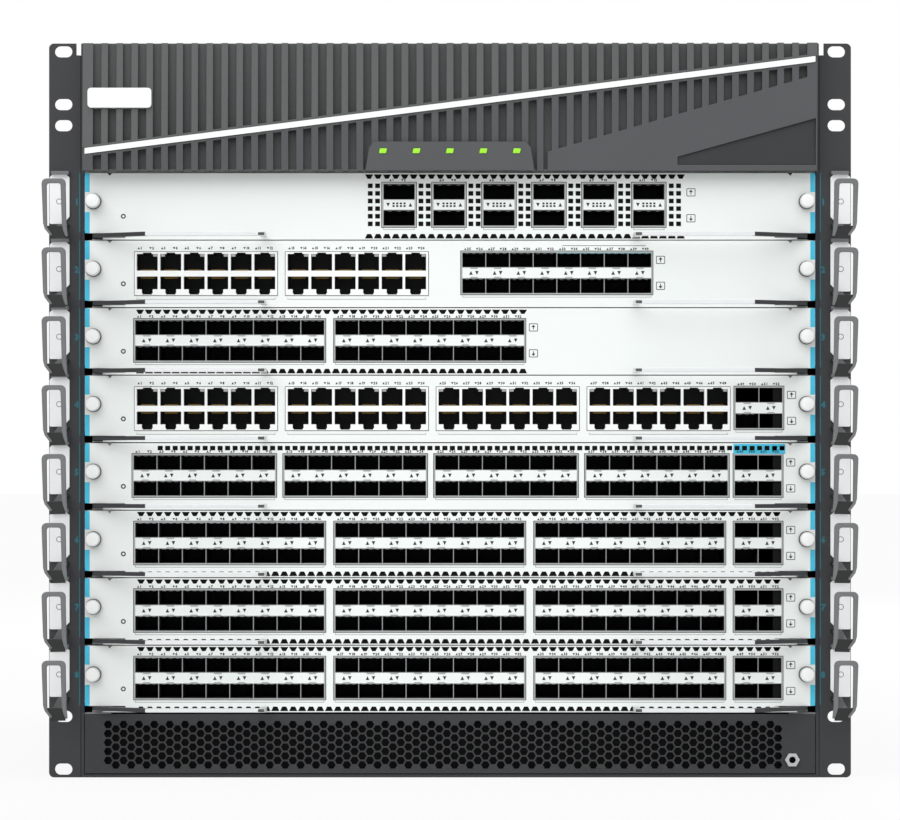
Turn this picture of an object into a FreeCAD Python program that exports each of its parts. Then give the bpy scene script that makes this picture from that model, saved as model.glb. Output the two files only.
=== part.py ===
"""A ten-unit modular chassis switch for a 19 inch rack, as a parametric document.

Frame: X across the front, Y from front to back, Z up.  The origin is under the middle
of the whole part, on the surface that it stands on.  All sizes are millimetres.
"""

import FreeCAD
import Part
import Sketcher
import os

Vector = FreeCAD.Vector

SIZES = {
    # rack and chassis
    "rack_width": 482.6,
    "hole_inset": 8.75,
    "ear_reach": 19.3,
    "chassis_depth": 700.0,
    "chassis_wall": 1.8,
    "intake_height": 38.9,
    "card_pitch": 40.64,
    "slots": 8,
    "head_height": 77.68,
    "shelf_thickness": 1.2,
    # rack ears
    "ear_thickness": 2.0,
    "ear_gap": 0.3,
    "ear_leg": 60.0,
    "ear_corner": 3.0,
    "ear_notch_width": 2.6,
    "ear_notch_height": 7.1,
    "ear_slot_length": 10.5,
    "ear_slot_radius": 3.4,
    "hole_low": 4.95,
    "hole_second": 36.7,
    "hole_third": 392.3,
    "hole_fourth": 405.0,
    "hole_top": 436.75,
    # cable guides
    "guide_width": 12.0,
    "guide_edge": 0.4,
    "guide_plate_top": 1.0,
    "guide_plate_height": 30.0,
    "guide_plate_thickness": 1.6,
    "hoop_reach": 53.0,
    "hoop_width": 14.0,
    "hoop_height": 32.6,
    "hoop_top": 6.8,
    "hoop_bar": 2.7,
    "hoop_depth": 3.0,
    "hoop_corner": 2.2,
    # top bezel
    "bezel_inset": 2.0,
    "bezel_depth": 16.0,
    "bezel_gap": 0.4,
    "bezel_top_margin": 0.9,
    "bezel_fall": 4.5,
    "crest_left": 11.2,
    "crest_right": 66.6,
    "channel_count": 48,
    "channel_pitch": 8.99,
    "channel_width": 4.8,
    "channel_floor": 9.5,
    "channel_lip": 3.0,
    "bar_width": 3.4,
    "bar_thickness": 2.2,
    "bar_seat": 1.0,
    "bar_gap": 0.15,
    "bar_ledge": 1.1,
    "bar_end": 1.5,
    "lamp_block_bottom": 101.2,
    "lamp_block_top": 94.0,
    "lamp_block_height": 17.0,
    "lamp_block_rise": 1.4,
    "lamp_count": 5,
    "lamp_pitch": 20.0,
    "lamp_width": 4.8,
    "lamp_height": 2.8,
    "lamp_depth": 1.2,
    "lamp_drop": 4.8,
    "plain_left": 58.4,
    "plain_left_height": 11.2,
    "plain_right_height": 57.6,
    "inset_left": 136.4,
    "inset_low": 3.4,
    "inset_left_height": 8.2,
    "inset_right_height": 31.2,
    "inset_floor": 11.5,
    "inset_margin": 1.0,
    # intake grille
    "grille_low": 2.4,
    "grille_high": 38.1,
    "grille_thickness": 1.5,
    "mesh_columns": 26,
    "mesh_rows": 2,
    "mesh_pitch": 15.8,
    "mesh_row_pitch": 13.2,
    "mesh_across": 11.6,
    "mesh_low": 14.7,
    "mesh_shift": 4.0,
    "jack_nut": 7.7,
    "jack_proud": 2.5,
    "jack_sleeve": 3.0,
    "jack_bore": 2.0,
    "jack_length": 14.5,
    "jack_x": 205.9,
    "jack_height": 10.7,
    # card panels
    "panel_gap": 0.4,
    "card_gap": 0.6,
    "panel_thickness": 1.5,
    "panel_end_height": 36.2,
    "panel_end_width": 24.4,
    "panel_corner": 1.8,
    "notch_inset": 15.0,
    "notch_width": 2.4,
    "notch_depth": 1.4,
    "window_gap": 0.2,
    # card trays and boards
    "card_depth": 395.0,
    "tray_width": 432.0,
    "tray_thickness": 0.8,
    "tray_relief_width": 7.2,
    "tray_relief_depth": 3.0,
    "rail_width": 16.0,
    "rail_start": 4.0,
    "running_gap": 0.3,
    "board_width": 400.0,
    "board_thickness": 1.6,
    "board_rise": 6.0,
    "support_width": 6.0,
    "support_x": 150.0,
    "cooler_width": 90.0,
    "cooler_depth": 100.0,
    "cooler_height": 16.0,
    "cooler_pitch": 150.0,
    "cooler_start": 150.0,
    "plug_width": 300.0,
    "plug_height": 14.0,
    "plug_depth": 8.0,
    # ports
    "ports_bottom": 31.6,
    "cage_sheet": 0.8,
    "bank_margin": 30.6,
    "six_bank_pitch": 90.6,
    "eight_bank_pitch": 120.4,
    "uplink_margin": 48.0,
    "mixed_left": 7.8,
    "sfp_width": 13.2,
    "sfp_height": 8.6,
    "sfp_pitch": 14.2,
    "sfp_middle": 7.1,
    "sfp_depth": 45.0,
    "jack45_width": 12.3,
    "jack45_height": 10.4,
    "jack45_pitch": 14.2,
    "jack45_middle": 3.6,
    "jack45_depth": 22.0,
    "quad_width": 18.2,
    "quad_height": 9.2,
    "quad_wall": 1.0,
    "quad_middle": 6.6,
    "quad_depth": 50.0,
    "quad_left": -39.7,
    "quad_bank_pitch": 30.0,
    # ejector levers and captive screws
    "hub_inset": 9.8,
    "hub_y": 7.0,
    "lever_thickness": 2.4,
    "lever_gap": 0.3,
    "lever_arm": 4.4,
    "lever_shank": 5.0,
    "lever_bend_x": 23.0,
    "lever_length": 100.0,
    "lever_stand_off": 30.2,
    "lever_tail": 9.0,
    "lever_bend": 2.5,
    "screw_inset": 4.9,
    "screw_drop": 17.1,
    "screw_radius": 4.8,
    "screw_flutes": 12,
    "screw_length": 11.0,
    # backplane and rear modules
    "backplane_start": 402.0,
    "backplane_thickness": 4.0,
    "rear_start": 410.0,
    "rear_reach": 24.0,
    "side_gap": 0.6,
    "module_gap": 0.6,
    "supply_height": 82.0,
    "fan_height": 258.0,
    "fan_depth": 62.0,
    "fan_sheet": 1.5,
    "fan_radius": 98.0,
    "rotor_gap": 2.0,
    "rotor_hub": 34.0,
    "hub_sides": 16,
    "rotor_depth": 34.0,
    "blade_count": 7,
    "blade_thickness": 2.5,
    "blade_pitch_angle": 35.0,
    "spider_width": 14.0,
    "spider_depth": 4.0,
    "handle_width": 90.0,
    "handle_bar": 6.0,
    "inlet_width": 27.0,
    "inlet_height": 20.0,
    "inlet_depth": 12.0,
    "inlet_x": 60.0,
}

# Places that several pieces share, as expressions of the sizes.
FRONT = "((sizes.hoop_reach - sizes.chassis_depth - sizes.rear_reach) / 2)"
BAY_TOP = "(sizes.intake_height + sizes.slots * sizes.card_pitch)"
TOP = f"({BAY_TOP} + sizes.head_height)"
CHASSIS_HALF = "(sizes.rack_width / 2 - sizes.ear_reach)"
INNER = f"({CHASSIS_HALF} - sizes.chassis_wall)"
PANEL_HALF = f"({INNER} - sizes.panel_gap)"
PANEL_HEIGHT = "(sizes.card_pitch - sizes.card_gap)"
EAR_INNER = f"({CHASSIS_HALF} + sizes.ear_gap)"
BEZEL_HALF = f"({CHASSIS_HALF} - sizes.bezel_inset)"
BEZEL_LOW = f"({BAY_TOP} + sizes.bezel_gap)"
BEZEL_HEIGHT = "(sizes.head_height - sizes.bezel_gap - sizes.bezel_top_margin)"
MODULE_HALF = f"({INNER} - sizes.side_gap)"
FAN_LOW = "(sizes.chassis_wall + 2 * sizes.module_gap + sizes.supply_height + sizes.shelf_thickness)"
FAN_HIGH = f"({FAN_LOW} + sizes.module_gap + sizes.fan_height)"

BANK_LEFT = f"(sizes.bank_margin - {PANEL_HALF})"
UPLINK_LEFT = f"({PANEL_HALF} - sizes.uplink_margin)"
LAYOUTS = [
    [("quad", f"sizes.quad_left + {k} * sizes.quad_bank_pitch", 1) for k in range(6)],
    [("jack45", f"{BANK_LEFT} + {k} * sizes.six_bank_pitch", 6) for k in range(2)]
    + [("sfp", "sizes.mixed_left", 8)],
    [("sfp", f"{BANK_LEFT} + {k} * sizes.eight_bank_pitch", 8) for k in range(2)],
    [("jack45", f"{BANK_LEFT} + {k} * sizes.six_bank_pitch", 6) for k in range(4)]
    + [("sfp", UPLINK_LEFT, 2)],
    [("sfp", f"{BANK_LEFT} + {k} * sizes.six_bank_pitch", 6) for k in range(4)]
    + [("sfp", UPLINK_LEFT, 2)],
    [("sfp", f"{BANK_LEFT} + {k} * sizes.eight_bank_pitch", 8) for k in range(3)]
    + [("sfp", UPLINK_LEFT, 2)],
]

doc = FreeCAD.newDocument("ChassisSwitch")


def make_sheet():
    """Writes every driving size into the spreadsheet, one aliased cell each."""
    table = doc.addObject("Spreadsheet::Sheet", "sizes")
    for row, (name, number) in enumerate(SIZES.items(), start=1):
        table.set(f"A{row}", name)
        table.set(f"B{row}", str(number))
        table.setAlias(f"B{row}", name)
    doc.recompute()
    return table


sheet = make_sheet()


def amount(expression):
    """The present value of an expression."""
    return float(sheet.evalExpression(str(expression)))


# ---------------------------------------------------------------- drawing helpers


def place(thing, x="0", y="0", z="0"):
    """Binds a piece's position."""
    thing.setExpression("Placement.Base.x", str(x))
    thing.setExpression("Placement.Base.y", str(y))
    thing.setExpression("Placement.Base.z", str(z))
    return thing


def box(name, corner, extent):
    """A bound box from its low corner and its three extents."""
    solid = doc.addObject("Part::Box", name)
    solid.Label = name
    for side, size in zip(("Length", "Width", "Height"), extent):
        solid.setExpression(side, str(size))
    return place(solid, *corner)


def new_body(name, x="0", y="0", z="0", several=False):
    """A body at a bound position.  Several lets its solids lie apart."""
    body = doc.addObject("PartDesign::Body", name)
    body.Label = name
    body.AllowCompound = several
    return place(body, x, y, z)


def origin_feature(body, role):
    """A plane or an axis of the body's own origin."""
    return next(item for item in body.Origin.OriginFeatures if item.Role == role)


def new_sketch(body, name, role, offset=None):
    """A sketch on one of the body's origin planes, moved along its normal by a bound offset."""
    sketch = body.newObject("Sketcher::SketchObject", name)
    sketch.AttachmentSupport = [(origin_feature(body, role), "")]
    sketch.MapMode = "FlatFace"
    if offset is not None:
        sketch.setExpression("AttachmentOffset.Base.z", str(offset))
    return sketch


def bind_point(sketch, line, point, x, y):
    """Ties a line's end to two expressions."""
    for kind, expression in (("DistanceX", x), ("DistanceY", y)):
        constraint = Sketcher.Constraint(kind, -1, 1, line, point, amount(expression))
        number = sketch.addConstraint(constraint)
        sketch.setExpression(f"Constraints[{number}]", str(expression))


def polygon(sketch, points):
    """A closed outline whose corners are pairs of expressions."""
    first = sketch.GeometryCount
    corners = [Vector(amount(x), amount(y), 0) for x, y in points]
    count = len(corners)
    for k in range(count):
        sketch.addGeometry(Part.LineSegment(corners[k], corners[(k + 1) % count]), False)
    for k in range(count):
        joined = Sketcher.Constraint("Coincident", first + k, 2, first + (k + 1) % count, 1)
        sketch.addConstraint(joined)
    for k, (x, y) in enumerate(points):
        bind_point(sketch, first + k, 1, x, y)


def rectangle(sketch, left, low, width, height):
    """A closed rectangle, as a polygon."""
    right = f"({left}) + ({width})"
    high = f"({low}) + ({height})"
    polygon(sketch, [(left, low), (right, low), (right, high), (left, high)])


def circle(sketch, x, y, radius):
    """A bound circle."""
    centre = Vector(amount(x), amount(y), 0)
    line = sketch.addGeometry(Part.Circle(centre, Vector(0, 0, 1), amount(radius)), False)
    size = sketch.addConstraint(Sketcher.Constraint("Radius", line, amount(radius)))
    sketch.setExpression(f"Constraints[{size}]", str(radius))
    bind_point(sketch, line, 3, x, y)


def pad(body, sketch, name, length, backwards=False):
    """Pads a sketch by a bound length."""
    feature = body.newObject("PartDesign::Pad", name)
    feature.Profile = sketch
    feature.Reversed = backwards
    feature.setExpression("Length", str(length))
    sketch.Visibility = False
    return feature


def pocket(body, sketch, name, length, backwards=False):
    """Cuts a sketch by a bound depth."""
    feature = body.newObject("PartDesign::Pocket", name)
    feature.Profile = sketch
    feature.Reversed = backwards
    feature.setExpression("Length", str(length))
    return feature


def repeat(body, feature, name, axis, count, length):
    """Copies a feature evenly along one of the body's axes."""
    pattern = body.newObject("PartDesign::LinearPattern", name)
    pattern.Originals = [feature]
    pattern.Direction = (origin_feature(body, axis), [""])
    pattern.setExpression("Occurrences", str(count))
    pattern.setExpression("Length", str(length))
    body.Tip = pattern
    return pattern


def edges_of_tip(body, chosen):
    """The body's last feature with the names of the edges that the test picks."""
    doc.recompute()
    base = body.Tip
    names = [f"Edge{k}" for k, edge in enumerate(base.Shape.Edges, start=1) if chosen(edge)]
    return (base, names)


def round_edges(body, name, radius, chosen):
    """Rounds the picked edges."""
    base = edges_of_tip(body, chosen)
    feature = body.newObject("PartDesign::Fillet", name)
    feature.Base = base
    feature.setExpression("Radius", str(radius))
    return feature


def bevel_edges(body, name, size, chosen):
    """Cuts the picked edges off at 45 degrees."""
    base = edges_of_tip(body, chosen)
    feature = body.newObject("PartDesign::Chamfer", name)
    feature.Base = base
    feature.setExpression("Size", str(size))
    return feature


def runs_along(edge, direction):
    """True for a straight edge along a direction."""
    if len(edge.Vertexes) != 2:
        return False
    run = edge.Vertexes[1].Point - edge.Vertexes[0].Point
    return run.cross(direction).Length < 1e-6 * max(run.Length, 1.0)


def gather(name, pieces):
    """One sub-part made of several separate solids."""
    whole = doc.addObject("Part::Compound", name)
    whole.Label = name
    whole.Links = pieces
    return whole


def cut(name, base, tool):
    """The base without the tool."""
    result = doc.addObject("Part::Cut", name)
    result.Label = name
    result.Base = base
    result.Tool = tool
    return result


# ---------------------------------------------------------------- chassis


def chassis_shell():
    """Bottom and both sides, folded from one sheet."""
    body = new_body("chassis_shell", y=FRONT)
    sketch = new_sketch(body, "shell_section", "XZ_Plane")
    half = CHASSIS_HALF
    wall = "sizes.chassis_wall"
    polygon(
        sketch,
        [
            (f"-{half}", "0"),
            (half, "0"),
            (half, TOP),
            (INNER, TOP),
            (INNER, wall),
            (f"-{INNER}", wall),
            (f"-{INNER}", TOP),
            (f"-{half}", TOP),
        ],
    )
    pad(body, sketch, "shell_run", "sizes.chassis_depth", backwards=True)
    return body


def top_cover():
    """The flat cover between the two sides."""
    width = f"2 * ({INNER} - sizes.running_gap)"
    corner = (f"-{INNER} + sizes.running_gap", FRONT, f"{TOP} - sizes.chassis_wall")
    return box("top_cover", corner, (width, "sizes.chassis_depth", "sizes.chassis_wall"))


def slot_rails():
    """A pair of rails under each card."""
    body = new_body("slot_rails", y=f"{FRONT} + sizes.rail_start", several=True)
    sketch = new_sketch(body, "rail_section", "XZ_Plane")
    low = "sizes.intake_height - sizes.shelf_thickness"
    rectangle(sketch, f"-{INNER}", low, "sizes.rail_width", "sizes.shelf_thickness")
    rectangle(sketch, f"{INNER} - sizes.rail_width", low, "sizes.rail_width", "sizes.shelf_thickness")
    rail = pad(body, sketch, "rail", "sizes.backplane_start - sizes.rail_start", backwards=True)
    repeat(body, rail, "rail_stack", "Z_Axis", "sizes.slots", "(sizes.slots - 1) * sizes.card_pitch")
    return body


def inner_shelves():
    """Decks above and below the card bay, and the two shelves behind the backplane."""
    left = f"-{INNER}"
    width = f"2 * {INNER}"
    thick = "sizes.shelf_thickness"
    bay = "sizes.backplane_start - sizes.rail_start"
    rear = "sizes.chassis_depth - sizes.rear_start"
    bay_y = f"{FRONT} + sizes.rail_start"
    rear_y = f"{FRONT} + sizes.rear_start"
    decks = [
        ("lower_deck", bay_y, f"sizes.intake_height - 2 * {thick}", bay),
        ("upper_deck", bay_y, BAY_TOP, bay),
        ("supply_shelf", rear_y, f"{FAN_LOW} - {thick}", rear),
        ("fan_shelf", rear_y, FAN_HIGH, rear),
    ]
    plates = [box(name, (left, y, z), (width, run, thick)) for name, y, z, run in decks]
    return gather("inner_shelves", plates)


def rack_ear(side, name):
    """An angle bracket: a slotted flange in front and a leg along the chassis side."""
    body = new_body(name, y=FRONT)
    plan = new_sketch(body, f"{name}_plan", "XY_Plane")
    inner = f"{side} * {EAR_INNER}"
    leg = f"{side} * ({EAR_INNER} + sizes.ear_thickness)"
    outer = f"{side} * sizes.rack_width / 2"
    thick = "sizes.ear_thickness"
    polygon(
        plan,
        [
            (inner, "0"),
            (outer, "0"),
            (outer, thick),
            (leg, thick),
            (leg, "sizes.ear_leg"),
            (inner, "sizes.ear_leg"),
        ],
    )
    pad(body, plan, f"{name}_angle", TOP)
    slots = new_sketch(body, f"{name}_slots", "XZ_Plane")
    for height in ("hole_low", "hole_second", "hole_third", "hole_fourth", "hole_top"):
        obround(slots, f"{side} * (sizes.rack_width / 2 - sizes.hole_inset)", f"sizes.{height}")
    pocket(body, slots, f"{name}_slot_cut", thick)
    relief = new_sketch(body, f"{name}_relief", "XZ_Plane")
    notch = "sizes.ear_notch_width"
    left = inner if side > 0 else f"{inner} - {notch}"
    rectangle(relief, left, f"{TOP} - sizes.ear_notch_height", notch, "sizes.ear_notch_height")
    pocket(body, relief, f"{name}_relief_cut", "sizes.ear_leg")
    far = amount("sizes.rack_width / 2") - 0.01
    high = amount(TOP)

    def outer_corner(edge):
        middle = edge.BoundBox.Center
        at_end = min(abs(middle.z), abs(middle.z - high)) < 0.01
        return runs_along(edge, Vector(0, 1, 0)) and abs(middle.x) > far and at_end

    round_edges(body, f"{name}_corners", "sizes.ear_corner", outer_corner)
    return body


def obround(sketch, x, z):
    """A slot with round ends, lying along X."""
    radius = amount("sizes.ear_slot_radius")
    half = "(sizes.ear_slot_length / 2 - sizes.ear_slot_radius)"
    first = sketch.GeometryCount
    centre_x = amount(x)
    centre_z = amount(z)
    reach = amount(half)
    quarter = 1.5707963267948966
    right = Part.Circle(Vector(centre_x + reach, centre_z, 0), Vector(0, 0, 1), radius)
    left = Part.Circle(Vector(centre_x - reach, centre_z, 0), Vector(0, 0, 1), radius)
    sketch.addGeometry(Part.ArcOfCircle(right, -quarter, quarter), False)
    high_right = Vector(centre_x + reach, centre_z + radius, 0)
    high_left = Vector(centre_x - reach, centre_z + radius, 0)
    sketch.addGeometry(Part.LineSegment(high_right, high_left), False)
    sketch.addGeometry(Part.ArcOfCircle(left, quarter, 3 * quarter), False)
    low_left = Vector(centre_x - reach, centre_z - radius, 0)
    low_right = Vector(centre_x + reach, centre_z - radius, 0)
    sketch.addGeometry(Part.LineSegment(low_left, low_right), False)
    for k in range(4):
        following = first + (k + 1) % 4
        sketch.addConstraint(Sketcher.Constraint("Tangent", first + k, 2, following, 1))
    size = sketch.addConstraint(Sketcher.Constraint("Radius", first, radius))
    sketch.setExpression(f"Constraints[{size}]", "sizes.ear_slot_radius")
    bind_point(sketch, first, 3, f"{x} + {half}", z)
    bind_point(sketch, first + 2, 3, f"{x} - {half}", z)


def cable_guides():
    """A hook for the cables at both ends of every slot: a plate, a sloping floor and a hoop."""
    guides = []
    for slot in range(SIZES["slots"]):
        for side, word in ((-1, "left"), (1, "right")):
            guides.append(cable_guide(slot, side, f"guide_{slot + 1}_{word}"))
    return gather("cable_guides", guides)


def cable_guide(slot, side, name):
    """One guide, drawn from the top of its slot and the outer edge of its ear."""
    top = f"{BAY_TOP} - {slot} * sizes.card_pitch"
    edge = f"{side} * (sizes.rack_width / 2 - sizes.guide_edge)"
    body = new_body(name, x=edge, y=FRONT, z=top)
    inward = -side
    plate_low = "-(sizes.guide_plate_top + sizes.guide_plate_height)"
    hoop_low = "-(sizes.hoop_top + sizes.hoop_height)"
    thick = "sizes.guide_plate_thickness"
    back = "sizes.hoop_reach - sizes.hoop_depth"
    profile = new_sketch(body, f"{name}_profile", "YZ_Plane")
    polygon(
        profile,
        [
            ("0", "-sizes.guide_plate_top"),
            (f"-{thick}", "-sizes.guide_plate_top"),
            (f"-{thick}", plate_low),
            (f"-({back})", f"{hoop_low} + sizes.hoop_bar"),
            (f"-({back})", hoop_low),
            (f"-{thick}", f"{plate_low} - sizes.hoop_bar"),
            ("0", f"{plate_low} - sizes.hoop_bar"),
        ],
    )
    pad(body, profile, f"{name}_strip", "sizes.guide_width", backwards=inward < 0)
    hoop = new_sketch(body, f"{name}_hoop_outline", "XZ_Plane", offset=back)
    middle = f"{inward} * sizes.hoop_width / 2"
    rectangle(
        hoop,
        f"{middle} - sizes.hoop_width / 2",
        hoop_low,
        "sizes.hoop_width",
        "sizes.hoop_height",
    )
    rectangle(
        hoop,
        f"{middle} - sizes.hoop_width / 2 + sizes.hoop_bar",
        f"{hoop_low} + sizes.hoop_bar",
        "sizes.hoop_width - 2 * sizes.hoop_bar",
        "sizes.hoop_height - 2 * sizes.hoop_bar",
    )
    pad(body, hoop, f"{name}_hoop", "sizes.hoop_depth")
    high = amount(top) - amount("sizes.hoop_top") - 0.01
    reach = amount("sizes.hoop_width / 2") - 0.01
    centre = amount(f"{edge} + {middle}")
    place_x = amount(edge)
    place_z = amount(top)

    def outer_top(edge_item):
        spot = edge_item.BoundBox.Center
        beside = abs(spot.x + place_x - centre) > reach
        return runs_along(edge_item, Vector(0, 1, 0)) and beside and spot.z + place_z > high

    bevel_edges(body, f"{name}_hoop_corners", "sizes.hoop_corner", outer_top)
    return body


# ---------------------------------------------------------------- top bezel


def prism(name, y, depth, points):
    """A block that runs back from y, with its outline in the front view."""
    body = new_body(name, y=y)
    sketch = new_sketch(body, f"{name}_outline", "XZ_Plane")
    polygon(sketch, points)
    pad(body, sketch, f"{name}_block", depth, backwards=True)
    return body


def bezel_block(name, depth):
    """The bezel's bulk, out to a depth in front of the ears."""
    half = BEZEL_HALF
    high = f"{BEZEL_LOW} + {BEZEL_HEIGHT}"
    points = [(f"-{half}", BEZEL_LOW), (half, BEZEL_LOW), (half, high), (f"-{half}", high)]
    return prism(name, f"{FRONT} - {depth}", depth, points)


CREST_ANGLE = f"atan((sizes.crest_right - sizes.crest_left) / (2 * {BEZEL_HALF}))"
CREST_MIDDLE = f"({BEZEL_LOW} + (sizes.crest_left + sizes.crest_right) / 2)"
CREST_LENGTH = f"(2.4 * {BEZEL_HALF})"


def tilted_body(name, y):
    """A body whose X axis lies along the crest line."""
    body = new_body(name, y=y, z=CREST_MIDDLE)
    body.Placement.Rotation = FreeCAD.Rotation(Vector(0, 1, 0), -amount(CREST_ANGLE))
    body.setExpression("Placement.Rotation.Angle", CREST_ANGLE)
    body.setExpression("Placement.Rotation.Axis.x", "0")
    body.setExpression("Placement.Rotation.Axis.y", "-1")
    body.setExpression("Placement.Rotation.Axis.z", "0")
    return body


def facet_cutter(name, turn, length):
    """A wedge with its edge on the crest line, drawn across that line and turned with it."""
    body = tilted_body(name, f"{FRONT} - sizes.bezel_depth")
    sketch = new_sketch(body, f"{name}_section", "YZ_Plane", offset=f"-({length}) / 2")
    fall = "sizes.bezel_fall"
    reach = f"{turn} * sizes.head_height"
    polygon(sketch, [("0", "0"), (f"-{fall}", "0"), (f"-{fall}", reach), (fall, reach)])
    pad(body, sketch, f"{name}_run", length)
    return body


def crest_strip(name, y, depth, width, length):
    """A straight strip along the crest line."""
    body = tilted_body(name, y)
    sketch = new_sketch(body, f"{name}_outline", "XZ_Plane")
    rectangle(sketch, f"-({length}) / 2", f"-({width}) / 2", length, width)
    pad(body, sketch, f"{name}_run", depth, backwards=True)
    return body


def top_bezel():
    """The moulded bezel: two facets that meet on a slanting crest, channels and plain fields."""
    length = CREST_LENGTH
    block = bezel_block("bezel_block", "sizes.bezel_depth")
    upper = facet_cutter("upper_facet", 1, length)
    lower = facet_cutter("lower_facet", -1, length)
    faceted = cut("faceted_block", cut("half_faceted_block", block, upper), lower)
    channels = cut("open_channels", channel_row(), plain_fields(length))
    ribbed = cut("ribbed_block", faceted, channels)
    groove_width = "sizes.bar_width + 2 * sizes.bar_gap"
    seat_y = f"{FRONT} - sizes.bezel_depth - 1"
    groove = crest_strip("bar_groove", seat_y, "1 + sizes.bar_seat", groove_width, length)
    grooved = cut("grooved_block", ribbed, groove)
    inset = prism(
        "inset_field",
        f"{FRONT} - sizes.bezel_depth",
        "sizes.bezel_depth - sizes.inset_floor",
        inset_points(),
    )
    with_inset = cut("inset_block", grooved, inset)
    whole = doc.addObject("Part::Fuse", "top_bezel")
    whole.Label = "top_bezel"
    whole.Base = with_inset
    whole.Tool = lamp_block()
    return whole


def inset_points():
    """The darker field low on the right of the bezel."""
    right = f"{BEZEL_HALF} - sizes.inset_margin"
    return [
        ("sizes.inset_left", f"{BEZEL_LOW} + sizes.inset_low"),
        (right, f"{BEZEL_LOW} + sizes.inset_low"),
        (right, f"{BEZEL_LOW} + sizes.inset_right_height"),
        ("sizes.inset_left", f"{BEZEL_LOW} + sizes.inset_left_height"),
    ]


def lamp_block_points():
    """The low trapezoid that carries the status lamps."""
    wide = "sizes.lamp_block_bottom / 2"
    narrow = "sizes.lamp_block_top / 2"
    high = f"{BEZEL_LOW} + sizes.lamp_block_height"
    return [(f"-{wide}", BEZEL_LOW), (wide, BEZEL_LOW), (narrow, high), (f"-{narrow}", high)]


def lamp_block():
    """The lamp carrier, a little proud of the facet behind it."""
    depth = "sizes.bezel_depth + sizes.lamp_block_rise - sizes.channel_floor / 2"
    start = f"{FRONT} - sizes.bezel_depth - sizes.lamp_block_rise"
    return prism("lamp_block", start, depth, lamp_block_points())


def channel_row():
    """Cutters for every channel between the ribs."""
    span = "(sizes.channel_count - 1) * sizes.channel_pitch"
    depth = "sizes.bezel_depth - sizes.channel_floor"
    body = new_body("channel_row", y=f"{FRONT} - sizes.bezel_depth", several=True)
    sketch = new_sketch(body, "channel_outline", "XZ_Plane")
    left = f"-({span}) / 2 - sizes.channel_width / 2"
    low = f"{BEZEL_LOW} + sizes.channel_lip"
    tall = BEZEL_HEIGHT
    rectangle(sketch, left, low, "sizes.channel_width", tall)
    channel = pad(body, sketch, "channel", depth, backwards=True)
    repeat(body, channel, "channels", "X_Axis", "sizes.channel_count", span)
    return body


def plain_fields(length):
    """What the channels leave solid: the ledge along the crest, the lamps and the plain field."""
    start = f"{FRONT} - sizes.bezel_depth"
    depth = "sizes.bezel_depth"
    half = BEZEL_HALF
    plain = prism(
        "plain_field",
        start,
        depth,
        [
            ("sizes.plain_left", BEZEL_LOW),
            (half, BEZEL_LOW),
            (half, f"{BEZEL_LOW} + sizes.plain_right_height"),
            ("sizes.plain_left", f"{BEZEL_LOW} + sizes.plain_left_height"),
        ],
    )
    behind_lamps = prism("lamp_ground", start, depth, lamp_block_points())
    ledge = "sizes.bar_width + 2 * sizes.bar_gap + 2 * sizes.bar_ledge"
    strip = crest_strip("crest_ledge", start, depth, ledge, length)
    fields = doc.addObject("Part::MultiFuse", "plain_fields")
    fields.Shapes = [plain, behind_lamps, strip]
    return fields


def accent_bar():
    """The slim light bar that lies in the groove along the crest, cut off at the bezel's sides."""
    start = f"{FRONT} - sizes.bezel_depth + sizes.bar_seat - sizes.bar_thickness"
    length = CREST_LENGTH
    strip = crest_strip("bar_strip", start, "sizes.bar_thickness", "sizes.bar_width", length)
    limits = box(
        "bar_limits",
        (f"sizes.bar_end - {BEZEL_HALF}", start, BEZEL_LOW),
        (f"2 * ({BEZEL_HALF} - sizes.bar_end)", "sizes.bar_thickness", BEZEL_HEIGHT),
    )
    bar = doc.addObject("Part::Common", "accent_bar")
    bar.Label = "accent_bar"
    bar.Base = strip
    bar.Tool = limits
    return bar


def status_lights():
    """The row of lamp windows on the lamp block."""
    span = "(sizes.lamp_count - 1) * sizes.lamp_pitch"
    start = f"{FRONT} - sizes.bezel_depth - sizes.lamp_block_rise - sizes.lamp_depth"
    body = new_body("status_lights", y=start, several=True)
    sketch = new_sketch(body, "lamp_outline", "XZ_Plane")
    low = f"{BEZEL_LOW} + sizes.lamp_block_height - sizes.lamp_drop - sizes.lamp_height / 2"
    rectangle(sketch, f"-({span}) / 2 - sizes.lamp_width / 2", low, "sizes.lamp_width", "sizes.lamp_height")
    lamp = pad(body, sketch, "lamp", "sizes.lamp_depth", backwards=True)
    repeat(body, lamp, "lamps", "X_Axis", "sizes.lamp_count", span)
    return body


# ---------------------------------------------------------------- intake


def intake_grille():
    """The perforated plate over the air intake."""
    body = new_body("intake_grille", y=FRONT)
    sketch = new_sketch(body, "grille_outline", "XZ_Plane")
    height = "sizes.grille_high - sizes.grille_low"
    rectangle(sketch, f"-{PANEL_HALF}", "sizes.grille_low", f"2 * {PANEL_HALF}", height)
    circle(sketch, "sizes.jack_x", "sizes.jack_height", "sizes.jack_sleeve + sizes.window_gap")
    pad(body, sketch, "grille_plate", "sizes.grille_thickness", backwards=True)
    span = "(sizes.mesh_columns - 1) * sizes.mesh_pitch"
    rows = new_sketch(body, "mesh_cell", "XZ_Plane")
    across = "sizes.mesh_across"
    for row in range(SIZES["mesh_rows"]):
        level = f"sizes.mesh_low + {row} * sizes.mesh_row_pitch"
        hexagon(rows, f"-({span}) / 2 - sizes.mesh_shift", level, across)
    cell = pocket(body, rows, "mesh_cut", "sizes.grille_thickness")
    repeat(body, cell, "mesh", "X_Axis", "sizes.mesh_columns", span)
    return body


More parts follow.
